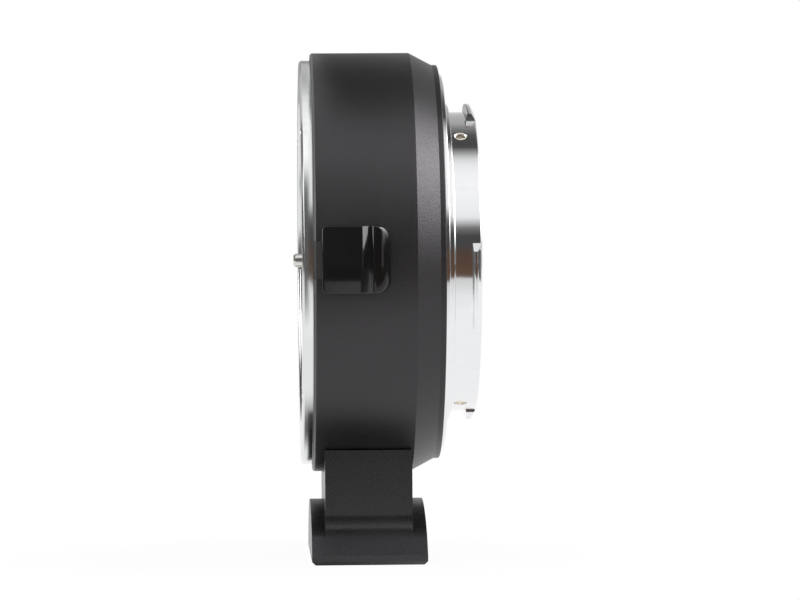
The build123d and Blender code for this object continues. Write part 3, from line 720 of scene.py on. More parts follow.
sink_depth = HEAD_HEIGHT + SINK
countersink = spindle([
    (-8, 0), (-8, SCREW_RADIUS + SEAT), (-sink_depth, SCREW_RADIUS + SEAT),
    (0, HEAD_RADIUS + SINK + SEAT), (1, HEAD_RADIUS + SINK + SEAT), (1, 0),
])
facing_lens = turn(-90, "Y")
ring_cuts = [placed(countersink, spun(a), move(0, -LENS_ORBIT, 0), facing_lens) for a in LENS_SCREWS]
ring_cuts.append(bar(PIN_RADIUS + GAP, -1, RING_THICKNESS + 1, PIN_ORBIT, 0))
ring_cuts.append(bar(MARK_RADIUS + SEAT, -1, MARK_DEPTH, LENS_ORBIT, LENS_MARK))
ring_mesh = cut(ring_mesh, ring_cuts)
finished("bayonet_ring", ring_mesh, "housing", ring_steel, "lens_bayonet_ring")

# %% [markdown]
# ## The camera bayonet
#
# Flange, shoulder and tube are one plated turning, with four lugs at its end that lock behind the camera's
# claws. A mirror finish shows each facet, so this piece profits most from the fine lathe. The lugs are
# joined as part turns with sloped flanks. One end of each lug is a slope that leads the claw in, and the other
# is trimmed and slightly undercut, as a cutter leaves it. The holes are cut from the outside.

# %% Camera bayonet
FLANGE = 24.0
SHOULDER_END = 25.07
TUBE_END = 29.5
TUBE_RADIUS, TUBE_BORE = 25.37, 23.9
LUG_RADIUS = 26.8
LUG_FRONT = 27.9
LUGS = (-11.0, 81.0, 169.0, 259.0)
LUG_HALF_SPAN, LUG_TRIM = 17.0, 2.7
TUBE_SCREWS = (54.5, 140.0, 290.0)
TUBE_SCREW_X = 26.67
TUBE_HEAD, TUBE_HEAD_HEIGHT, TUBE_SCREW_HOLE = 1.05, 0.5, 0.62
LOCK_SLOT, LOCK_SLOT_RADIUS, LOCK_SLOT_SIDE, LOCK_SLOT_DEPTH = 200.0, 1.2, 0.9, 1.2
LUG_ROOT, LEAD_IN_RISE, LEAD_IN_RUN = 0.3, 0.35, 1.6
CAMERA_MARK = 75.0

bayonet_mesh = lathe(rounded([
    (FLANGE_SEAT, TUBE_BORE, 0.12),
    (FLANGE_SEAT, FLANGE_RADIUS, 0.1),
    (FLANGE, FLANGE_RADIUS, 0.2),
    (FLANGE, LUG_RADIUS, 0.1),
    (SHOULDER_END, LUG_RADIUS, 0.25),
    (SHOULDER_END, TUBE_RADIUS, 0.15),
    (TUBE_END, TUBE_RADIUS, 0.3),
    (TUBE_END, TUBE_BORE, 0.2),
]))
lug_outline = rounded([
    (LUG_FRONT, TUBE_RADIUS - LUG_ROOT, 0.0),
    (LUG_FRONT + 0.15, LUG_RADIUS, 0.15),
    (TUBE_END - 0.75, LUG_RADIUS, 0.3),
    (TUBE_END, TUBE_RADIUS, 0.15),
    (TUBE_END, TUBE_RADIUS - LUG_ROOT, 0.0),
])
past_lugs, lead_in_foot, undercut_foot = -29.0, -TUBE_RADIUS - LEAD_IN_RISE, -TUBE_RADIUS + 0.17
lead_in_cut = prism([
    (lead_in_foot, 0), (-LUG_RADIUS - 0.02, -LEAD_IN_RUN), (past_lugs, -LEAD_IN_RUN), (past_lugs, 1.5),
    (lead_in_foot, 1.5),
], LUG_FRONT - 1, TUBE_END + 1)
undercut = prism([
    (past_lugs, -2.0), (past_lugs, -0.46), (undercut_foot, 0.35), (undercut_foot, -2.0),
], LUG_FRONT - 1, TUBE_END + 1)
lugs = []
for degrees in LUGS:
    low_end, high_end = degrees - LUG_HALF_SPAN, degrees + LUG_HALF_SPAN
    ends = [placed(lead_in_cut, spun(high_end)), placed(undercut, spun(low_end + LUG_TRIM))]
    lugs.append(cut(lathe(lug_outline, low_end, high_end), ends))
bayonet_mesh = joined(bayonet_mesh, lugs)

facing_camera = turn(90, "Y")
facing_out = turn(90, "X")
bayonet_cuts = [
    placed(countersink, spun(a), move(FLANGE, -CAMERA_ORBIT, 0), facing_camera) for a in CAMERA_SCREWS
]
tube_cutter = spindle([
    (-4, 0), (-4, TUBE_SCREW_HOLE), (-TUBE_HEAD_HEIGHT - SEAT, TUBE_SCREW_HOLE),
    (-TUBE_HEAD_HEIGHT - SEAT, TUBE_HEAD + SEAT), (1, TUBE_HEAD + SEAT), (1, 0),
])
for degrees in TUBE_SCREWS:
    bayonet_cuts.append(placed(tube_cutter, spun(degrees), move(TUBE_SCREW_X, -TUBE_RADIUS, 0), facing_out))
lock_hole = bar(LOCK_SLOT_RADIUS, FLANGE - LOCK_SLOT_DEPTH, FLANGE + 1, CAMERA_ORBIT, 0)
for step in (-1, 0, 1):
    bayonet_cuts.append(placed(lock_hole, spun(LOCK_SLOT), move(0, 0, step * LOCK_SLOT_SIDE)))
bayonet_cuts.append(bar(MARK_RADIUS + SEAT, FLANGE - MARK_DEPTH, FLANGE + 1, CAMERA_ORBIT, CAMERA_MARK))
bayonet_mesh = cut(bayonet_mesh, bayonet_cuts)
finished("chrome_bayonet", bayonet_mesh, "housing", chrome, "camera_bayonet")

# %% [markdown]
# ## Screws, contacts and pads in rings
#
# The small pieces sit on circles round the optical axis: screws, contact sleeves, sprung pins, gold pads.
# One geometry node tree places any of them. It takes points that carry an angle, sets them on the orbit,
# turns an instance to each and makes the instances real, because an export keeps meshes only.


# %% The ring-placing tree
def ring_tree():
    tree = bpy.data.node_groups.new("pieces_on_a_ring", "GeometryNodeTree")
    panel = tree.interface
    panel.new_socket("Geometry", in_out="INPUT", socket_type="NodeSocketGeometry")
    for label, kind in (("Piece", "Object"), ("Orbit", "Float"), ("Station", "Float"), ("Finish", "Material")):
        panel.new_socket(label, in_out="INPUT", socket_type="NodeSocket" + kind)
    panel.new_socket("Geometry", in_out="OUTPUT", socket_type="NodeSocketGeometry")
    given = tree.nodes.new("NodeGroupInput")
    wanted = {socket.name: Term(tree, socket) for socket in given.outputs if socket.name}
    angle = add_node(tree, "GeometryNodeInputNamedAttribute", {"data_type": "FLOAT"}, {"Name": "angle"})
    spot = add_node(tree, "ShaderNodeCombineXYZ", None, {
        "X": wanted["Station"],
        "Y": -(angle.cosine() * wanted["Orbit"]),
        "Z": angle.sine() * wanted["Orbit"],
    })
    points = add_node(tree, "GeometryNodeSetPosition", None, {"Geometry": wanted["Geometry"], "Position": spot})
    euler = add_node(tree, "ShaderNodeCombineXYZ", None, {"X": -angle})
    facing = add_node(tree, "FunctionNodeEulerToRotation", None, {"Euler": euler})
    piece = add_node(tree, "GeometryNodeObjectInfo", None, {"Object": wanted["Piece"]}, "Geometry")
    copies = add_node(tree, "GeometryNodeInstanceOnPoints", None, {
        "Points": points, "Instance": piece, "Rotation": facing,
    })
    real = add_node(tree, "GeometryNodeRealizeInstances", None, {"Geometry": copies})
    painted = add_node(tree, "GeometryNodeSetMaterial", None, {"Geometry": real, "Material": wanted["Finish"]})
    leaving = tree.nodes.new("NodeGroupOutput")
    tree.links.new(painted.socket, leaving.inputs["Geometry"])
    return tree


RING_TREE = ring_tree()


def run_tree(tree, start, values):
    """Plain mesh that a geometry node tree makes from a start mesh and its named inputs."""
    carrier = linked("carrier", start)
    change = carrier.modifiers.new("made", "NODES")
    change.node_group = tree
    for item in tree.interface.items_tree:
        if item.in_out == "INPUT" and item.name in values:
            change[item.identifier] = values[item.name]
    return applied(carrier)


def ring_piece(name, master, orbit, station, angles, finish, node, body="housing"):
    """Piece with a copy of a master at each angle of a circle round the optical axis."""
    start = bpy.data.meshes.new("angles")
    start.from_pydata([(0, 0, 0)] * len(angles), [], [])
    stored = start.attributes.new("angle", "FLOAT", "POINT")
    stored.data.foreach_set("value", [math.radians(a) for a in angles])
    model = linked("master", master)
    mesh = run_tree(RING_TREE, start, {"Piece": model, "Orbit": orbit, "Station": station, "Finish": finish})
    bpy.data.objects.remove(model)
    return finished(name, mesh, body, finish, node)


print("ring tree:", len(RING_TREE.nodes), "nodes")

# %% [markdown]
# ## Cross-recess screws
#
# A screw's head is what shows, so its rim is rounded and its cross has sloped flanks, as a driver needs them.
# The head is turned, the cross is cut by two tapered bars, and the finished screw is the ring tree's master.


# %% Screws
CROSS_OVERLAP, CROSS_TAPER = 0.05, 0.55
HEAD_RIM, SCREW_TIP, SCREW_LENGTH = 0.08, 0.15, 4.3
CROSS_WIDTH, CROSS_LENGTH, CROSS_DEPTH = 0.6, 2.3, 0.5


def cross_cutters(width, length, depth):
    """Two tapered bars that cut a cross from the height of the origin downwards."""
    points = []
    for level, share in ((CROSS_OVERLAP, 0.5), (-depth, CROSS_TAPER / 2)):
        points += [(sx * length * share, sy * width * share, level) for sx in (-1, 1) for sy in (-1, 1)]
    tapered = mesh_from(points, BOX_FACES)
    return [tapered, placed(tapered, turn(90, "Z"))]


def screw_with_cross(outline, width, length, depth):
    """Turned screw whose head's face is at the origin, with a cross in it."""
    shape = spindle(outline)
    first, second = cross_cutters(width, length, depth)
    return cut(cut(shape, [first]), [second])


def cap_screw(radius, height, shank, reach, width, depth, dome):
    """Screw with a head that is domed by a small rise."""
    rise = [(-dome * (k / 6) ** 2, radius * k / 6) for k in range(6, 0, -1)]
    return screw_with_cross(
        [(-reach, 0), (-reach, shank), (-height, shank), (-height, radius), (-dome - 0.06, radius),
         *rise[1:], (0, 0)],
        width, radius * 1.35, depth,
    )


BLOCK_SCREWS = (-117.0, -63.0)
BLOCK_SCREW_ORBIT, BLOCK_SCREW_X = 23.4, 6.7
countersunk = screw_with_cross([
    (-SCREW_LENGTH, 0), (-SCREW_LENGTH, SCREW_RADIUS - SCREW_TIP), (-SCREW_LENGTH + SCREW_TIP, SCREW_RADIUS),
    (-HEAD_HEIGHT, SCREW_RADIUS), (-HEAD_RIM * 1.6, HEAD_RADIUS - HEAD_RIM * 0.4),
    (-HEAD_RIM * 0.5, HEAD_RADIUS - HEAD_RIM * 0.5), (0, HEAD_RADIUS - HEAD_RIM * 1.5), (0, 0),
], CROSS_WIDTH, CROSS_LENGTH, CROSS_DEPTH)
lens_screw, camera_screw = placed(countersunk, facing_lens), placed(countersunk, facing_camera)
tube_screw = placed(cap_screw(TUBE_HEAD, TUBE_HEAD_HEIGHT, 0.6, 2.6, 0.34, 0.34, 0.22), facing_out)
block_screw = placed(cap_screw(1.5, 0.8, 0.8, 9.1, 0.5, 0.5, 0.2), facing_lens)

ring_piece("ring_screws", lens_screw, LENS_ORBIT, SINK, LENS_SCREWS,
           screw_black, "lens_mount_screws")
ring_piece("flange_screws", camera_screw, CAMERA_ORBIT, FLANGE - SINK, CAMERA_SCREWS,
           screw_nickel, "camera_mount_screws")
ring_piece("tube_screws", tube_screw, TUBE_RADIUS, TUBE_SCREW_X, TUBE_SCREWS,
           screw_warm, "baffle_screws")
ring_piece("block_screws", block_screw, BLOCK_SCREW_ORBIT, BLOCK_SCREW_X, BLOCK_SCREWS,
           screw_nickel, "contact_block_screws")

# %% [markdown]
# ## Contacts
#
# Eight sprung pins stand in gold sleeves on the lens side, and ten flat pads lie in the block on the camera
# side. Each pin moves on its own, so each is a piece of its own body; sleeves and pads are one piece each.

# %% Contacts
DOWN = -90.0
CONTACT_ORBIT = 23.4
CONTACT_COUNT, CONTACT_PITCH = 8, 5.6
SLEEVE_RADIUS, SLEEVE_FRONT, SLEEVE_BACK = 0.92, 5.9, 11.0
PIN_TIP_X, PIN_SHOULDER_X, PIN_BACK_X = 4.7, 6.2, 8.2
TIP_RADIUS, PIN_BODY_RADIUS = 0.5, 0.62
RUN, SLEEVE_LIP, SLEEVE_ROOF, SLEEVE_FLOOR = 0.05, 0.08, 0.25, 0.5
PIN_SIDES = 32
PAD_COUNT, PAD_PITCH, PAD_ORBIT = 10, 5.4, 21.35
PAD_FACE = 29.25

contact_angles = [DOWN + (n - (CONTACT_COUNT - 1) / 2) * CONTACT_PITCH for n in range(CONTACT_COUNT)]
pad_angles = [DOWN + (n - (PAD_COUNT - 1) / 2) * PAD_PITCH for n in range(PAD_COUNT)]

lip, long, tip_bore = SLEEVE_LIP, SLEEVE_BACK - SLEEVE_FRONT, TIP_RADIUS + RUN
body_bore = PIN_BODY_RADIUS + RUN
sleeve = spindle([
    (SLEEVE_ROOF, tip_bore), (lip, tip_bore), (0, tip_bore + lip), (0, SLEEVE_RADIUS - lip),
    (lip, SLEEVE_RADIUS), (long, SLEEVE_RADIUS), (long, 0), (long - SLEEVE_FLOOR, 0),
    (long - SLEEVE_FLOOR, body_bore), (SLEEVE_ROOF, body_bore), (SLEEVE_ROOF, tip_bore),
], PIN_SIDES)
along = turn(90, "Y")
ring_piece("contact_sleeves", placed(sleeve, along), CONTACT_ORBIT, SLEEVE_FRONT, contact_angles,
           contact_gold, "lens_contact_sleeves")

tip_arc = [math.radians(15 * k) for k in range(7)]
dome = [(TIP_RADIUS * (1 - math.cos(a)), TIP_RADIUS * math.sin(a)) for a in tip_arc]
shoulder, back = PIN_SHOULDER_X - PIN_TIP_X, PIN_BACK_X - PIN_TIP_X
contact_pin = spindle(
    [*dome, (shoulder, TIP_RADIUS), (shoulder, PIN_BODY_RADIUS), (back, PIN_BODY_RADIUS), (back, 0)], PIN_SIDES)
for number, degrees in enumerate(contact_angles, 1):
    ring_piece(f"contact_pin_{number}", placed(contact_pin, along), CONTACT_ORBIT, PIN_TIP_X, [degrees],
               contact_gold, f"lens_contact_pin_{number}", f"contact_{number}")

# %% Pads
PAD_HALF_HEIGHT, PAD_HALF_WIDTH, PAD_THICKNESS = 1.3, 0.6, 0.4
PAD_EDGE, PAD_CORNER = 0.07, 0.14


def pad_level(x, inset):
    """The pad's outline at a height, drawn in by an inset."""
    tall, wide = PAD_HALF_HEIGHT - inset, PAD_HALF_WIDTH - inset
    corners = [(s * tall, t * wide, PAD_CORNER) for s, t in ((-1, -1), (1, -1), (1, 1), (-1, 1))]
    return (x, rounded(corners, 3))


pad = loft([
    pad_level(-PAD_THICKNESS, 0), pad_level(-PAD_EDGE, 0), pad_level(-PAD_EDGE * 0.3, PAD_EDGE * 0.3),
    pad_level(0, PAD_EDGE),
])
ring_piece("contact_pads", pad, PAD_ORBIT, PAD_FACE, pad_angles, contact_gold, "camera_contacts")

# %% [markdown]
# ## The release slider
#
# A polished moulding: a flat panel, a hollow ramp up to a thumb ridge and a tail that falls away. A gloss black
# face is all reflection, so its heights are written as a function over the plan and sampled on a fine grid.
# Rounding comes from the distance to the outline: near it, the height drops along a quarter circle, small
# round the panel and wider round the tail, where the thumb rests.

# %% Slider shape
SLIDER_FRONT, SLIDER_BACK, SLIDER_HALF = 3.1, 14.15, 5.5
SLIDER_UNDER = 35.6
PANEL_TOP, RIDGE_TOP = 36.45, 37.85
RAMP_START, RIDGE_START, RIDGE_END = 9.5, 11.25, 11.65
RAMP_SLOPE = math.radians(20)
TAIL_ROUND = 2.99
FRONT_CORNER, REAR_CORNER = 0.9, 2.3
PANEL_EDGE, TAIL_EDGE, EDGE_CHANGE = 0.22, 0.6, 1.6
RIDGE_WEAR, WEAR_START = 0.16, 0.5

ramp_run, ramp_rise = RIDGE_START - RAMP_START, RIDGE_TOP - PANEL_TOP
RAMP_ROUND = math.hypot(ramp_rise, ramp_run) / (2 * math.sin(math.atan2(ramp_rise, ramp_run) - RAMP_SLOPE))


def slider_profile(x):
    """Radius of the slider's crown line at a place along the optical axis."""
    if x <= RAMP_START:
        return PANEL_TOP
    if x <= RIDGE_START:
        slope = math.asin(math.sin(RAMP_SLOPE) + (x - RAMP_START) / RAMP_ROUND)
        return PANEL_TOP + RAMP_ROUND * (math.cos(RAMP_SLOPE) - math.cos(slope))
    fall = max(0.0, x - RIDGE_END)
    return RIDGE_TOP - TAIL_ROUND + math.sqrt(TAIL_ROUND ** 2 - fall ** 2)


def slider_crown(x):
    """The crown line with its ridge worn round."""
    wear = RIDGE_WEAR if x > RAMP_START + WEAR_START else 0.0
    return sum(slider_profile(x + wear * k / 4) for k in range(-4, 5)) / 9


def slider_half_width(x):
    """Half the slider's width, with rounded corners in plan."""
    front = max(0.0, SLIDER_FRONT + FRONT_CORNER - x)
    rear = max(0.0, x - SLIDER_BACK + REAR_CORNER)
    width = SLIDER_HALF
    width -= FRONT_CORNER - math.sqrt(max(0.0, FRONT_CORNER ** 2 - front ** 2))
    return width - (REAR_CORNER - math.sqrt(max(0.0, REAR_CORNER ** 2 - rear ** 2)))


def slider_rim_distance(x, z):
    """Distance from a place of the plan to the slider's outline."""
    for corner, past_end in ((FRONT_CORNER, SLIDER_FRONT - x), (REAR_CORNER, x - SLIDER_BACK)):
        past_x, past_z = past_end + corner, abs(z) - SLIDER_HALF + corner
        if past_x > 0 and past_z > 0:
            return max(0.0, corner - math.hypot(past_x, past_z))
    return max(0.0, min(x - SLIDER_FRONT, SLIDER_BACK - x, SLIDER_HALF - abs(z)))


def slider_height(x, z):
    """Radius of the slider's upper face over a place of the plan."""
    crown = slider_crown(x)
    share = min(1.0, max(0.0, (x - RIDGE_START) / EDGE_CHANGE))
    edge = PANEL_EDGE + (TAIL_EDGE - PANEL_EDGE) * share * share * (3 - 2 * share)
    edge = min(edge, crown - SLIDER_UNDER - 0.1)
    inward = max(0.0, edge - slider_rim_distance(x, z))
    return crown - edge + math.sqrt(edge ** 2 - inward ** 2)


print("slider ramp radius:", round(RAMP_ROUND, 2), "mm")


# %% Slider
def eased(count):
    """Shares from 0 to 1 that lie close together at the start, for the quarter circle of an edge."""
    return [1 - math.cos(k * math.pi / 2 / count) for k in range(count + 1)]


def evenly(start, end, pitch):
    count = max(1, round((end - start) / pitch))
    return [start + (end - start) * k / count for k in range(count + 1)]


EDGE_STEPS, ACROSS_POINTS = 12, 23
PANEL_PITCH, TAIL_PITCH = 0.24, 0.07

stations = [SLIDER_FRONT + PANEL_EDGE * s for s in eased(7)]
stations += evenly(stations[-1], RAMP_START, PANEL_PITCH)[1:]
stations += evenly(RAMP_START, SLIDER_BACK - TAIL_EDGE, TAIL_PITCH)[1:]
stations += [SLIDER_BACK - TAIL_EDGE * s for s in reversed(eased(EDGE_STEPS))][1:]
rows = []
for x in stations:
    *side, flat = [slider_half_width(x) - TAIL_EDGE * s for s in eased(EDGE_STEPS)]
    inner = [flat * (2 * k / (ACROSS_POINTS - 1) - 1) for k in range(ACROSS_POINTS)]
    rows.append([-z for z in side] + inner + side[::-1])
row_size = len(rows[0])

top_points, under_points = [], []
for x, row in zip(stations, rows):
    for z in row:
        top_points.append((x, -math.sqrt(slider_height(x, z) ** 2 - z * z), z))
        under_points.append((x, -math.sqrt(SLIDER_UNDER ** 2 - z * z), z))
slider_faces = []
below = len(top_points)
for r in range(len(stations) - 1):
    for k in range(row_size - 1):
        quad = (r * row_size + k, r * row_size + k + 1, (r + 1) * row_size + k + 1, (r + 1) * row_size + k)
        slider_faces += [quad, tuple(below + v for v in quad)]
rim = list(range(row_size)) + [r * row_size + row_size - 1 for r in range(1, len(stations))]
rim += [(len(stations) - 1) * row_size + k for k in range(row_size - 2, -1, -1)]
rim += [r * row_size for r in range(len(stations) - 2, 0, -1)]
slider_faces += [(a, b, below + b, below + a) for a, b in zip(rim, rim[1:] + rim[:1])]

STEM_FRONT, STEM_BACK, STEM_HALF, STEM_FOOT = 5.6, 10.6, 2.9, 32.265
STEM_SCREW_X, STEM_SCREW_SPREAD, STEM_HOLE, STEM_HOLE_DEPTH = 6.7, 2.0, 0.52, 2.0
slider_mesh = mesh_from(top_points + under_points, slider_faces)
stem = block((STEM_FRONT, STEM_BACK), (-SLIDER_UNDER - 0.1, -STEM_FOOT), (-STEM_HALF, STEM_HALF))
slider_mesh = joined(slider_mesh, [stem])
stem_hole = spindle([(-1, 0), (-1, STEM_HOLE), (STEM_HOLE_DEPTH, STEM_HOLE), (STEM_HOLE_DEPTH, 0)], 24)
stem_holes = [move(STEM_SCREW_X, -STEM_FOOT, side * STEM_SCREW_SPREAD) for side in (-1, 1)]
slider_mesh = cut(slider_mesh, [placed(stem_hole, place, facing_out) for place in stem_holes])
finished("thumb_slider", slider_mesh, "release", slider_gloss, "release_slider")

# %% [markdown]
# ## The tripod foot
#
# The foot is milled from one block: a post that carries the barrel in a hollow saddle, spreading in a cove to a
# dovetail base whose top is an arch. Each form is an outline drawn out along the axis, and the two are joined
# before the saddle and the holes are cut. A narrow rounding then breaks all edges, as tumbling does.

# %% Tripod foot
FOOT_LENGTH, FOOT_HALF, FOOT_BOTTOM = 19.05, 22.0, -50.0
FOOT_LIP, DOVETAIL, ARCH_RISE = 1.6, 2.8, 5.4
POST_LENGTH, POST_HALF, POST_COVE = 14.45, 17.2, 4.0
SADDLE_RADIUS = 35.7
BOTTOM_EDGE, FOOT_ROUNDING, ARCH_STEPS = 0.6, 0.1, 48
POST_TOP = -20.0
SOCKET_RADIUS, SOCKET_DEPTH = 3.175, 8.0
FOOT_SCREW_HEAD, FOOT_SCREW_SINK, FOOT_SCREW_HOLE = 2.85, 3.4, 1.6

neck_half, lip_level = FOOT_HALF - DOVETAIL, FOOT_BOTTOM + FOOT_LIP
neck_level = lip_level + DOVETAIL
arch_radius = (neck_half ** 2 + ARCH_RISE ** 2) / (2 * ARCH_RISE)
arch_middle = neck_level + ARCH_RISE - arch_radius
arch_reach = math.asin(neck_half / arch_radius)
arch_turns = [arch_reach * (1 - 2 * k / ARCH_STEPS) for k in range(ARCH_STEPS + 1)]
arch_line = [(arch_radius * math.sin(a), arch_middle + arch_radius * math.cos(a)) for a in arch_turns]
edge_level, bottom_half = FOOT_BOTTOM + BOTTOM_EDGE, FOOT_HALF - BOTTOM_EDGE
base_outline = [
    (FOOT_HALF, lip_level), *arch_line, (-FOOT_HALF, lip_level), (-FOOT_HALF, edge_level),
    (-bottom_half, FOOT_BOTTOM), (bottom_half, FOOT_BOTTOM), (FOOT_HALF, edge_level),
]
base_front, base_back = FOOT_CENTRE - FOOT_LENGTH / 2, FOOT_CENTRE + FOOT_LENGTH / 2
base_mesh = prism(base_outline, base_front, base_back)
end_wedge = [(-SEAT, -SEAT), (BOTTOM_EDGE, -SEAT), (-SEAT, BOTTOM_EDGE)]
cove_level = neck_level + neck_half - POST_HALF
post_outline = rounded([
    (POST_HALF, POST_TOP, 0.0), (POST_HALF, cove_level, POST_COVE), (FOOT_HALF, lip_level, 0.0),
    (-FOOT_HALF, lip_level, 0.0), (-POST_HALF, cove_level, POST_COVE), (-POST_HALF, POST_TOP, 0.0),
], 12)
post_mesh = prism(post_outline, FOOT_CENTRE - POST_LENGTH / 2, FOOT_CENTRE + POST_LENGTH / 2)
foot_mesh = joined(base_mesh, [post_mesh])
saddle = lathe([(-5.0, 1.0), (-5.0, SADDLE_RADIUS), (30.0, SADDLE_RADIUS), (30.0, 1.0)])
socket = spindle([(-1, 0), (-1, SOCKET_RADIUS), (SOCKET_DEPTH, SOCKET_RADIUS), (SOCKET_DEPTH, 0)], 64)
screw_hole = spindle([
    (-1, 0), (-1, FOOT_SCREW_HEAD), (FOOT_SCREW_SINK, FOOT_SCREW_HEAD), (FOOT_SCREW_SINK, FOOT_SCREW_HOLE),
    (25, FOOT_SCREW_HOLE), (25, 0),
])
foot_cuts = [saddle, placed(socket, move(FOOT_CENTRE, 0, FOOT_BOTTOM))]
foot_cuts += [placed(screw_hole, move(FOOT_CENTRE, side * FOOT_SCREW_SPREAD, FOOT_BOTTOM)) for side in (-1, 1)]
for end, sign in ((base_front, 1), (base_back, -1)):
    points = []
    for y in (-FOOT_HALF - 1, FOOT_HALF + 1):
        points += [(end + sign * dx, y, FOOT_BOTTOM + dz) for dx, dz in end_wedge]
    foot_cuts.append(mesh_from(points, [(0, 1, 2), (3, 4, 5), (0, 1, 4, 3), (1, 2, 5, 4), (2, 0, 3, 5)]))
foot_mesh = softened(cut(foot_mesh, foot_cuts), FOOT_ROUNDING)
finished("foot_block", foot_mesh, "housing", foot_black, "tripod_foot", smooth=None)

# %% [markdown]
# ## The return spring
#
# A coil of round wire between the carriage's boss and the barrel's rear web. The coil is swept here, in the
# bounds of the solid that it stands in for.

# %% Return spring
SPRING_WIRE, SPRING_TURNS = 0.15, 9
TURN_STEPS, WIRE_SIDES = 24, 8

corners = [Vector(corner) / MM for corner in frame["nodes"]["return_spring"].bound_box]
spring_low, spring_high = (Vector([pick(c[k] for c in corners) for k in range(3)]) for pick in (min, max))
coil_middle = (spring_low + spring_high) / 2
coil_radius = (spring_high.z - spring_low.z) / 2 - SPRING_WIRE
coil_length = spring_high.x - spring_low.x - 2 * SPRING_WIRE
coil_steps = SPRING_TURNS * TURN_STEPS
coil_points = []
for row in range(coil_steps + 1):
    x = spring_low.x + SPRING_WIRE + coil_length * row / coil_steps
    around = 2 * math.pi * row / TURN_STEPS
    for side in range(WIRE_SIDES):
        turned = 2 * math.pi * side / WIRE_SIDES
        r = coil_radius + SPRING_WIRE * math.cos(turned)
        y, z = coil_middle.y + r * math.cos(around), coil_middle.z + r * math.sin(around)
        coil_points.append((x + SPRING_WIRE * math.sin(turned), y, z))
coil_faces = [tuple(range(WIRE_SIDES)), tuple(range(len(coil_points) - WIRE_SIDES, len(coil_points)))]
for first in range(0, len(coil_points) - WIRE_SIDES, WIRE_SIDES):
    for side in range(WIRE_SIDES):
        here, there = first + side, first + (side + 1) % WIRE_SIDES
        coil_faces.append((here, there, there + WIRE_SIDES, here + WIRE_SIDES))
coil_mesh = mesh_from(coil_points, coil_faces)
coil = finished("return_coil", coil_mesh, "housing", spring_steel, "return_spring")
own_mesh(coil)

# %% [markdown]
# ## Finishes on the solids that stay
#
# The remaining solids already have their right shape, so they stay and only get a finish.

# %% Finishes on solids
STAYING = {
    "lens_mount_spring": spring_steel,
    "lens_index_mark": mark_red,
    "slider_carriage": spring_steel,
    "slider_screws": screw_nickel,
    "lock_pin": screw_nickel,
    "slider_guide": guide_matt,
    "lens_contact_block": block_matt,
    "circuit_board": board_green,
    "board_chips": chip_matt,
    "flex_ribbon": lead_amber,
    "light_baffle": lining_matt,
    "camera_index_mark": mark_red,
    "camera_contact_block": block_matt,
    "foot_screws": screw_black,
}
for node, finish in STAYING.items():
    held = frame["nodes"][node].data
    held.materials.clear()
    held.materials.append(finish)
print("solids kept:", len(STAYING))

# %% [markdown]
# ## Stage, light and camera
#
# The adapter stands on a white table under large soft lamps. The floor and the sky look plain white to the
# camera, keep the shadow and light the part. Polished metal, though, is a picture of its room, so what it
# mirrors is made apart: boards that only mirror rays see are dark towards the camera, bright above and dark
# behind, and give chrome and satin steel the bands that tell the eye they are metal.

# %% Floor and world
FLOOR_HALF = 3.0
FLOOR_LEVEL = cad_low.z - 0.02 * MM
WHITE = (1.0, 1.0, 1.0, 1.0)
PAPER = (0.88, 0.88, 0.88, 1.0)
PAPER_START, PAPER_END, PAPER_SHARE = 0.055, 0.078, 0.04
# The SHADE numbers place a painted shadow that only mirrors see on the floor: a dark pool round a fixed spot
# under the part, where it fades, and its light.
SHADE_MIDDLE, SHADE_START, SHADE_END, SHADE_LIGHT = (0.004, -0.013, cad_low.z), 0.002, 0.021, 0.15
SKY_LIGHT, SKY_MIRRORED = 0.28, 0.74


def white_for_lens(tree, lit, glow, direct, mirrored):
    """Shader that shows a white glow to the camera, another look in mirrors, and plain light to all else."""
    path = tree.nodes.new("ShaderNodeLightPath")
    camera_ray, glossy_ray, glass_ray = (
        Term(tree, path.outputs[label]) for label in ("Is Camera Ray", "Is Glossy Ray", "Is Transmission Ray")
    )
    through = glossy_ray.maths("MAXIMUM", glossy_ray, glass_ray) * (1 - camera_ray)
    others = add_node(tree, "ShaderNodeMixShader", None, {0: through, 1: lit, 2: mirrored})
    return add_node(tree, "ShaderNodeMixShader", None, {0: camera_ray * direct, 1: others, 2: glow})


def glowing(tree, kind, strength):
    """White light of an Emission or a Background node."""
    return add_node(tree, "ShaderNode" + kind, None, {"Color": WHITE, "Strength": strength})


def emptied(holder):
    """Node tree of a material or a world, without its nodes."""
    holder.use_nodes = True
    holder.node_tree.nodes.clear()
    return holder.node_tree


def shown_as(tree, look, kind):
    """End a material's or a world's node tree with a shader."""
    leaving = tree.nodes.new("ShaderNodeOutput" + kind)
    tree.links.new(look.socket, leaving.inputs["Surface"])


floor_paper = bpy.data.materials.new("floor_paper")
paper = emptied(floor_paper)
paper_lit = add_node(paper, "ShaderNodeBsdfDiffuse", None, {"Color": PAPER})
paper_white, paper_painted_shadow = glowing(paper, "Emission", 1.0), glowing(paper, "Emission", SHADE_LIGHT)
paper_place = add_node(paper, "ShaderNodeTexCoord", output="Object")
from_part, from_shade = (
    add_node(paper, "ShaderNodeVectorMath", {"operation": "DISTANCE"}, {0: paper_place, 1: spot}, "Value")
    for spot in ((0.0, 0.0, 0.0), SHADE_MIDDLE)
)
away = smoothstep(paper, from_part, PAPER_START, PAPER_END)
past_shade = smoothstep(paper, from_shade, SHADE_START, SHADE_END)
# Painted shadow: in mirrors the floor is dark round the spot under the part and a white glow beyond it.
paper_mirrored = add_node(paper, "ShaderNodeMixShader", None, {0: past_shade, 1: paper_painted_shadow, 2: paper_white})
directly = 1 - PAPER_SHARE + away * PAPER_SHARE
shown_as(paper, white_for_lens(paper, paper_lit, paper_white, directly, paper_mirrored), "Material")

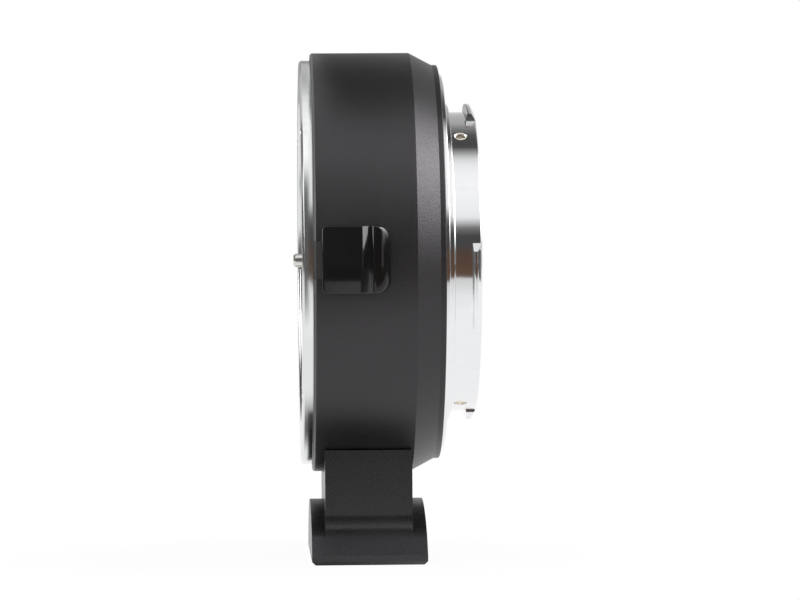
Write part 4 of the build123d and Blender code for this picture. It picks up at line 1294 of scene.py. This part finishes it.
ends = (-FLOOR_HALF, FLOOR_HALF)
floor_mesh = bpy.data.meshes.new("floor")
floor_mesh.from_pydata([(x, y, FLOOR_LEVEL) for x in ends for y in ends], [], [(0, 2, 3, 1)])
floor_mesh.materials.append(floor_paper)
floor = linked("floor", floor_mesh)

world = bpy.data.worlds.new("studio")
scene.world = world
sky = emptied(world)
sky_dim, sky_white, sky_mirrored = (glowing(sky, "Background", s) for s in (SKY_LIGHT, 1.0, SKY_MIRRORED))
shown_as(sky, white_for_lens(sky, sky_dim, sky_white, 1.0, sky_mirrored), "World")


# %% Lamps and reflectors
def soft_light(name, spot, target, width, height, watts, mirrored=False):
    """Soft lamp that lights the part, or a dim one that only shows mirrored in its metal."""
    lamp = bpy.data.lights.new(name, "AREA")
    lamp.shape = "RECTANGLE"
    lamp.size, lamp.size_y = width, height
    lamp.energy = watts
    holder = linked(name, lamp)
    holder.location = spot
    holder.rotation_euler = (Vector(target) - Vector(spot)).to_track_quat("-Z", "Y").to_euler()
    holder.visible_camera = False
    holder.visible_glossy = mirrored
    holder.visible_diffuse = not mirrored


def reflector(name, rows):
    """Board made of rows of (point, light) pairs, seen in metal only; the light blends from point to point."""
    look = bpy.data.materials.new(name)
    tree = emptied(look)
    shade = add_node(tree, "ShaderNodeAttribute", {"attribute_name": "shade"}, None, "Color")
    shown_as(tree, add_node(tree, "ShaderNodeEmission", None, {"Color": shade, "Strength": 1.0}), "Material")
    size = len(rows[0])
    points, lights = zip(*(pair for row in rows for pair in row))
    faces = []
    for first in range(0, len(points) - size, size):
        faces += [(first + k, first + k + 1, first + size + k + 1, first + size + k) for k in range(size - 1)]
    mesh = bpy.data.meshes.new(name)
    mesh.from_pydata(points, [], faces)
    stored = mesh.attributes.new("shade", "FLOAT_COLOR", "POINT")
    stored.data.foreach_set("color", [value for light in lights for value in (*light, 1.0)])
    mesh.materials.append(look)
    board = linked(name, mesh)
    board.visible_camera = False
    board.visible_diffuse = False
    board.visible_shadow = False


def grey(level, warmth=0.0):
    """Light of a level, drawn towards orange by its warmth."""
    return (level * (1 + warmth), level, level * (1 - 0.45 * warmth))


# %% Soft lamps
middle = (cad_low + cad_high) / 2
soft_light("overhead_lamp", (0.0, -0.54, 0.40), middle, 1.1, 0.56, 2.1)
soft_light("right_lamp", (0.67, -0.244, 0.463), middle, 0.40, 0.62, 2.0)
soft_light("left_lamp", (-0.68, -0.39, 0.32), middle, 0.40, 0.40, 1.6)

# A row of small lamps close over the lens end: angle on the ring whose rim mirrors the lamp there, light
RING_LIGHT = [
    (36, 0.05), (40, 0.50), (44, 0.88), (48, 1.04), (52, 0.94), (56, 0.66), (61, 0.50), (70, 0.42), (78, 0.25),
]
RING_LAMP_GAP, RING_LAMP_FRONT, RING_LAMP_BACK, RING_LAMP_STEP = 18.0, -0.030, 0.0032, 3


def over_ring(x, degrees):
    """Place near the lens end that the ring's rim mirrors towards the camera at an angle."""
    near, far = on_axis(x, RING_RADIUS * MM, degrees), on_axis(x, RING_LAMP_GAP * MM, 2 * degrees)
    return Vector((x, near[1] + far[1], near[2] + far[2]))


def ring_light(degrees):
    """Light of the row of lamps at an angle on the ring."""
    for (start, first), (end, last) in zip(RING_LIGHT, RING_LIGHT[1:]):
        if degrees <= end:
            return first + (last - first) * (degrees - start) / (end - start)


lamp_x, lamp_width = (RING_LAMP_FRONT + RING_LAMP_BACK) / 2, RING_LAMP_BACK - RING_LAMP_FRONT
for start in range(RING_LIGHT[0][0], RING_LIGHT[-1][0], RING_LAMP_STEP):
    low, high = over_ring(lamp_x, start), over_ring(lamp_x, start + RING_LAMP_STEP)
    spot, lamp_height = (low + high) / 2, (high - low).length
    facing = (high - low).cross(Vector((1, 0, 0)))
    watts = math.pi * ring_light(start + RING_LAMP_STEP / 2) * lamp_width * lamp_height
    soft_light(f"ring_lamp_{start}", spot, spot + facing, lamp_width, lamp_height, watts, mirrored=True)
print("lamps ready")

# %% Reflectors over and in front of the part
BOARD_HALF_LENGTH, ARCH_RADIUS = 0.80, 0.95
TABLE_LEVEL = cad_low.z + 0.003
# Places along the optical axis between which one end's light blends into the next one's
ARCH_BLEND, TABLE_BLEND = (0.052, 0.078), (0.003, 0.009, 0.024, 0.034)
# The room over the part, from the camera's side over the top to the back: height angle, light towards the
# lens end and the camera end, warmth of the latter
ROOM_ARCH = [
    (-5, (0.12, 0.066), 0.7), (4, (0.12, 0.060), 0.6), (12, (0.12, 0.065)), (19, (0.12, 0.065)),
    (25, (0.12, 0.18)), (33, (0.13, 0.95)), (40, (0.16, 1.00)), (46, (0.50, 1.03)), (53, (1.05, 1.05)),
    (60, (1.30, 1.06)), (70, (1.30, 1.03)), (77, (0.80, 0.98)), (84, (0.40, 0.80)), (91, (0.12, 0.36)),
    (97, (0.04, 0.07)), (104, (0.03, 0.07)), (113, (0.03, 0.10)), (122, (0.04, 0.22)), (132, (0.08, 0.42)),
    (150, (0.25, 0.50)), (180, (0.50, 0.85)),
]
# The table in front of the part: place towards the camera, light at the lens end, in the middle and at the
# camera end, warmth of the latter
TABLE_ROWS = [
    (-0.070, (1.10, 1.10, 1.00)), (-0.083, (1.00, 1.08, 0.96)), (-0.103, (0.69, 1.05, 0.92)),
    (-0.134, (0.38, 1.00, 0.82)), (-0.181, (0.24, 0.95, 0.74)), (-0.219, (0.20, 0.92, 0.68)),
    (-0.221, (0.20, 0.92, 0.066), 0.7), (-0.266, (0.17, 0.90, 0.066), 0.7),
    (-0.271, (0.15, 0.08, 0.066), 0.7), (-0.950, (0.12, 0.08, 0.066), 0.7),
]


def long_reflector(name, table, blend, place_of):
    """Board along the optical axis whose light changes from end to end."""
    ends = (-BOARD_HALF_LENGTH, *blend, BOARD_HALF_LENGTH)
    rows = []
    for place, levels, *warmth in table:
        lights = [grey(level) for level in levels[:-1]] + [grey(levels[-1], *warmth)]
        rows.append([(place_of(x, place), lights[number // 2]) for number, x in enumerate(ends)])
    reflector(name, rows)


long_reflector("room_arch", ROOM_ARCH, ARCH_BLEND, lambda x, degrees: on_axis(x, ARCH_RADIUS, degrees))
long_reflector("table_front", TABLE_ROWS, TABLE_BLEND, lambda x, y: (x, y, TABLE_LEVEL))
print("long reflectors ready")

# %% Windows and cards at the sides
WINDOW_DISTANCE, STRIP_DISTANCE, CARD_DISTANCE = 0.70, 0.69, 0.72


def bearing(azimuth, elevation, distance):
    """Point seen from the part at an angle to the right of the camera and an angle above the table."""
    side, up = math.radians(azimuth), math.radians(elevation)
    flat = distance * math.cos(up)
    return (flat * math.sin(side), -flat * math.cos(side), distance * math.sin(up))


def window(name, distance, rows):
    """Reflector from rows of (angle to the right, angle above the table, light)."""
    reflector(name, [[(bearing(right, up, distance), grey(light)) for right, up, light in row] for row in rows])


window("right_window", WINDOW_DISTANCE, [
    [(50, -3, 0.10), (125, -3, 0.10)],
    [(50, 5, 0.14), (125, 5, 0.10)],
    [(50, 9, 2.2), (115, 12, 2.0)],
    [(50, 22, 6.2), (108, 24, 6.2)],
    [(50, 40, 10.0), (108, 40, 9.0)],
    [(60, 50, 2.5), (115, 50, 2.0)],
])
window("left_window", WINDOW_DISTANCE, [
    [(-42, -3, 0.06), (-72, -3, 0.06), (-100, -3, 0.06)],
    [(-42, 4.6, 0.06), (-72, 9.6, 0.06), (-100, 19.6, 0.06)],
    [(-42, 5, 7.0), (-72, 10, 6.0), (-90, 20, 0.12)],
    [(-42, 38, 7.0), (-72, 40, 6.0), (-90, 44, 0.12)],
])
window("left_strip", STRIP_DISTANCE, [[(-108, -3, 2.2), (-126, -3, 2.2)], [(-108, 17, 2.2), (-126, 17, 2.2)]])
window("left_card", CARD_DISTANCE, [[(-100, 2, 0.12), (-160, 2, 0.20)], [(-95, 50, 0.12), (-160, 50, 0.30)]])
print("windows ready")

# %% Camera
EYE = Vector((-7.6, -620.0, -6.5)) * MM
AIM = Vector((17.0, 0.0, -6.5)) * MM
ROLL = 0.4
camera_data = bpy.data.cameras.new("camera")
camera_data.sensor_width = 36.0
camera_data.lens = 164.1
camera_data.clip_start = 0.01
camera_data.clip_end = 20.0
camera = linked("camera", camera_data)
camera.location = EYE
looking = (AIM - EYE).to_track_quat("-Z", "Y").to_matrix()
camera.rotation_euler = (looking @ Matrix.Rotation(math.radians(-ROLL), 3, "Z")).to_euler()
scene.camera = camera
scene.view_settings.view_transform = "Standard"
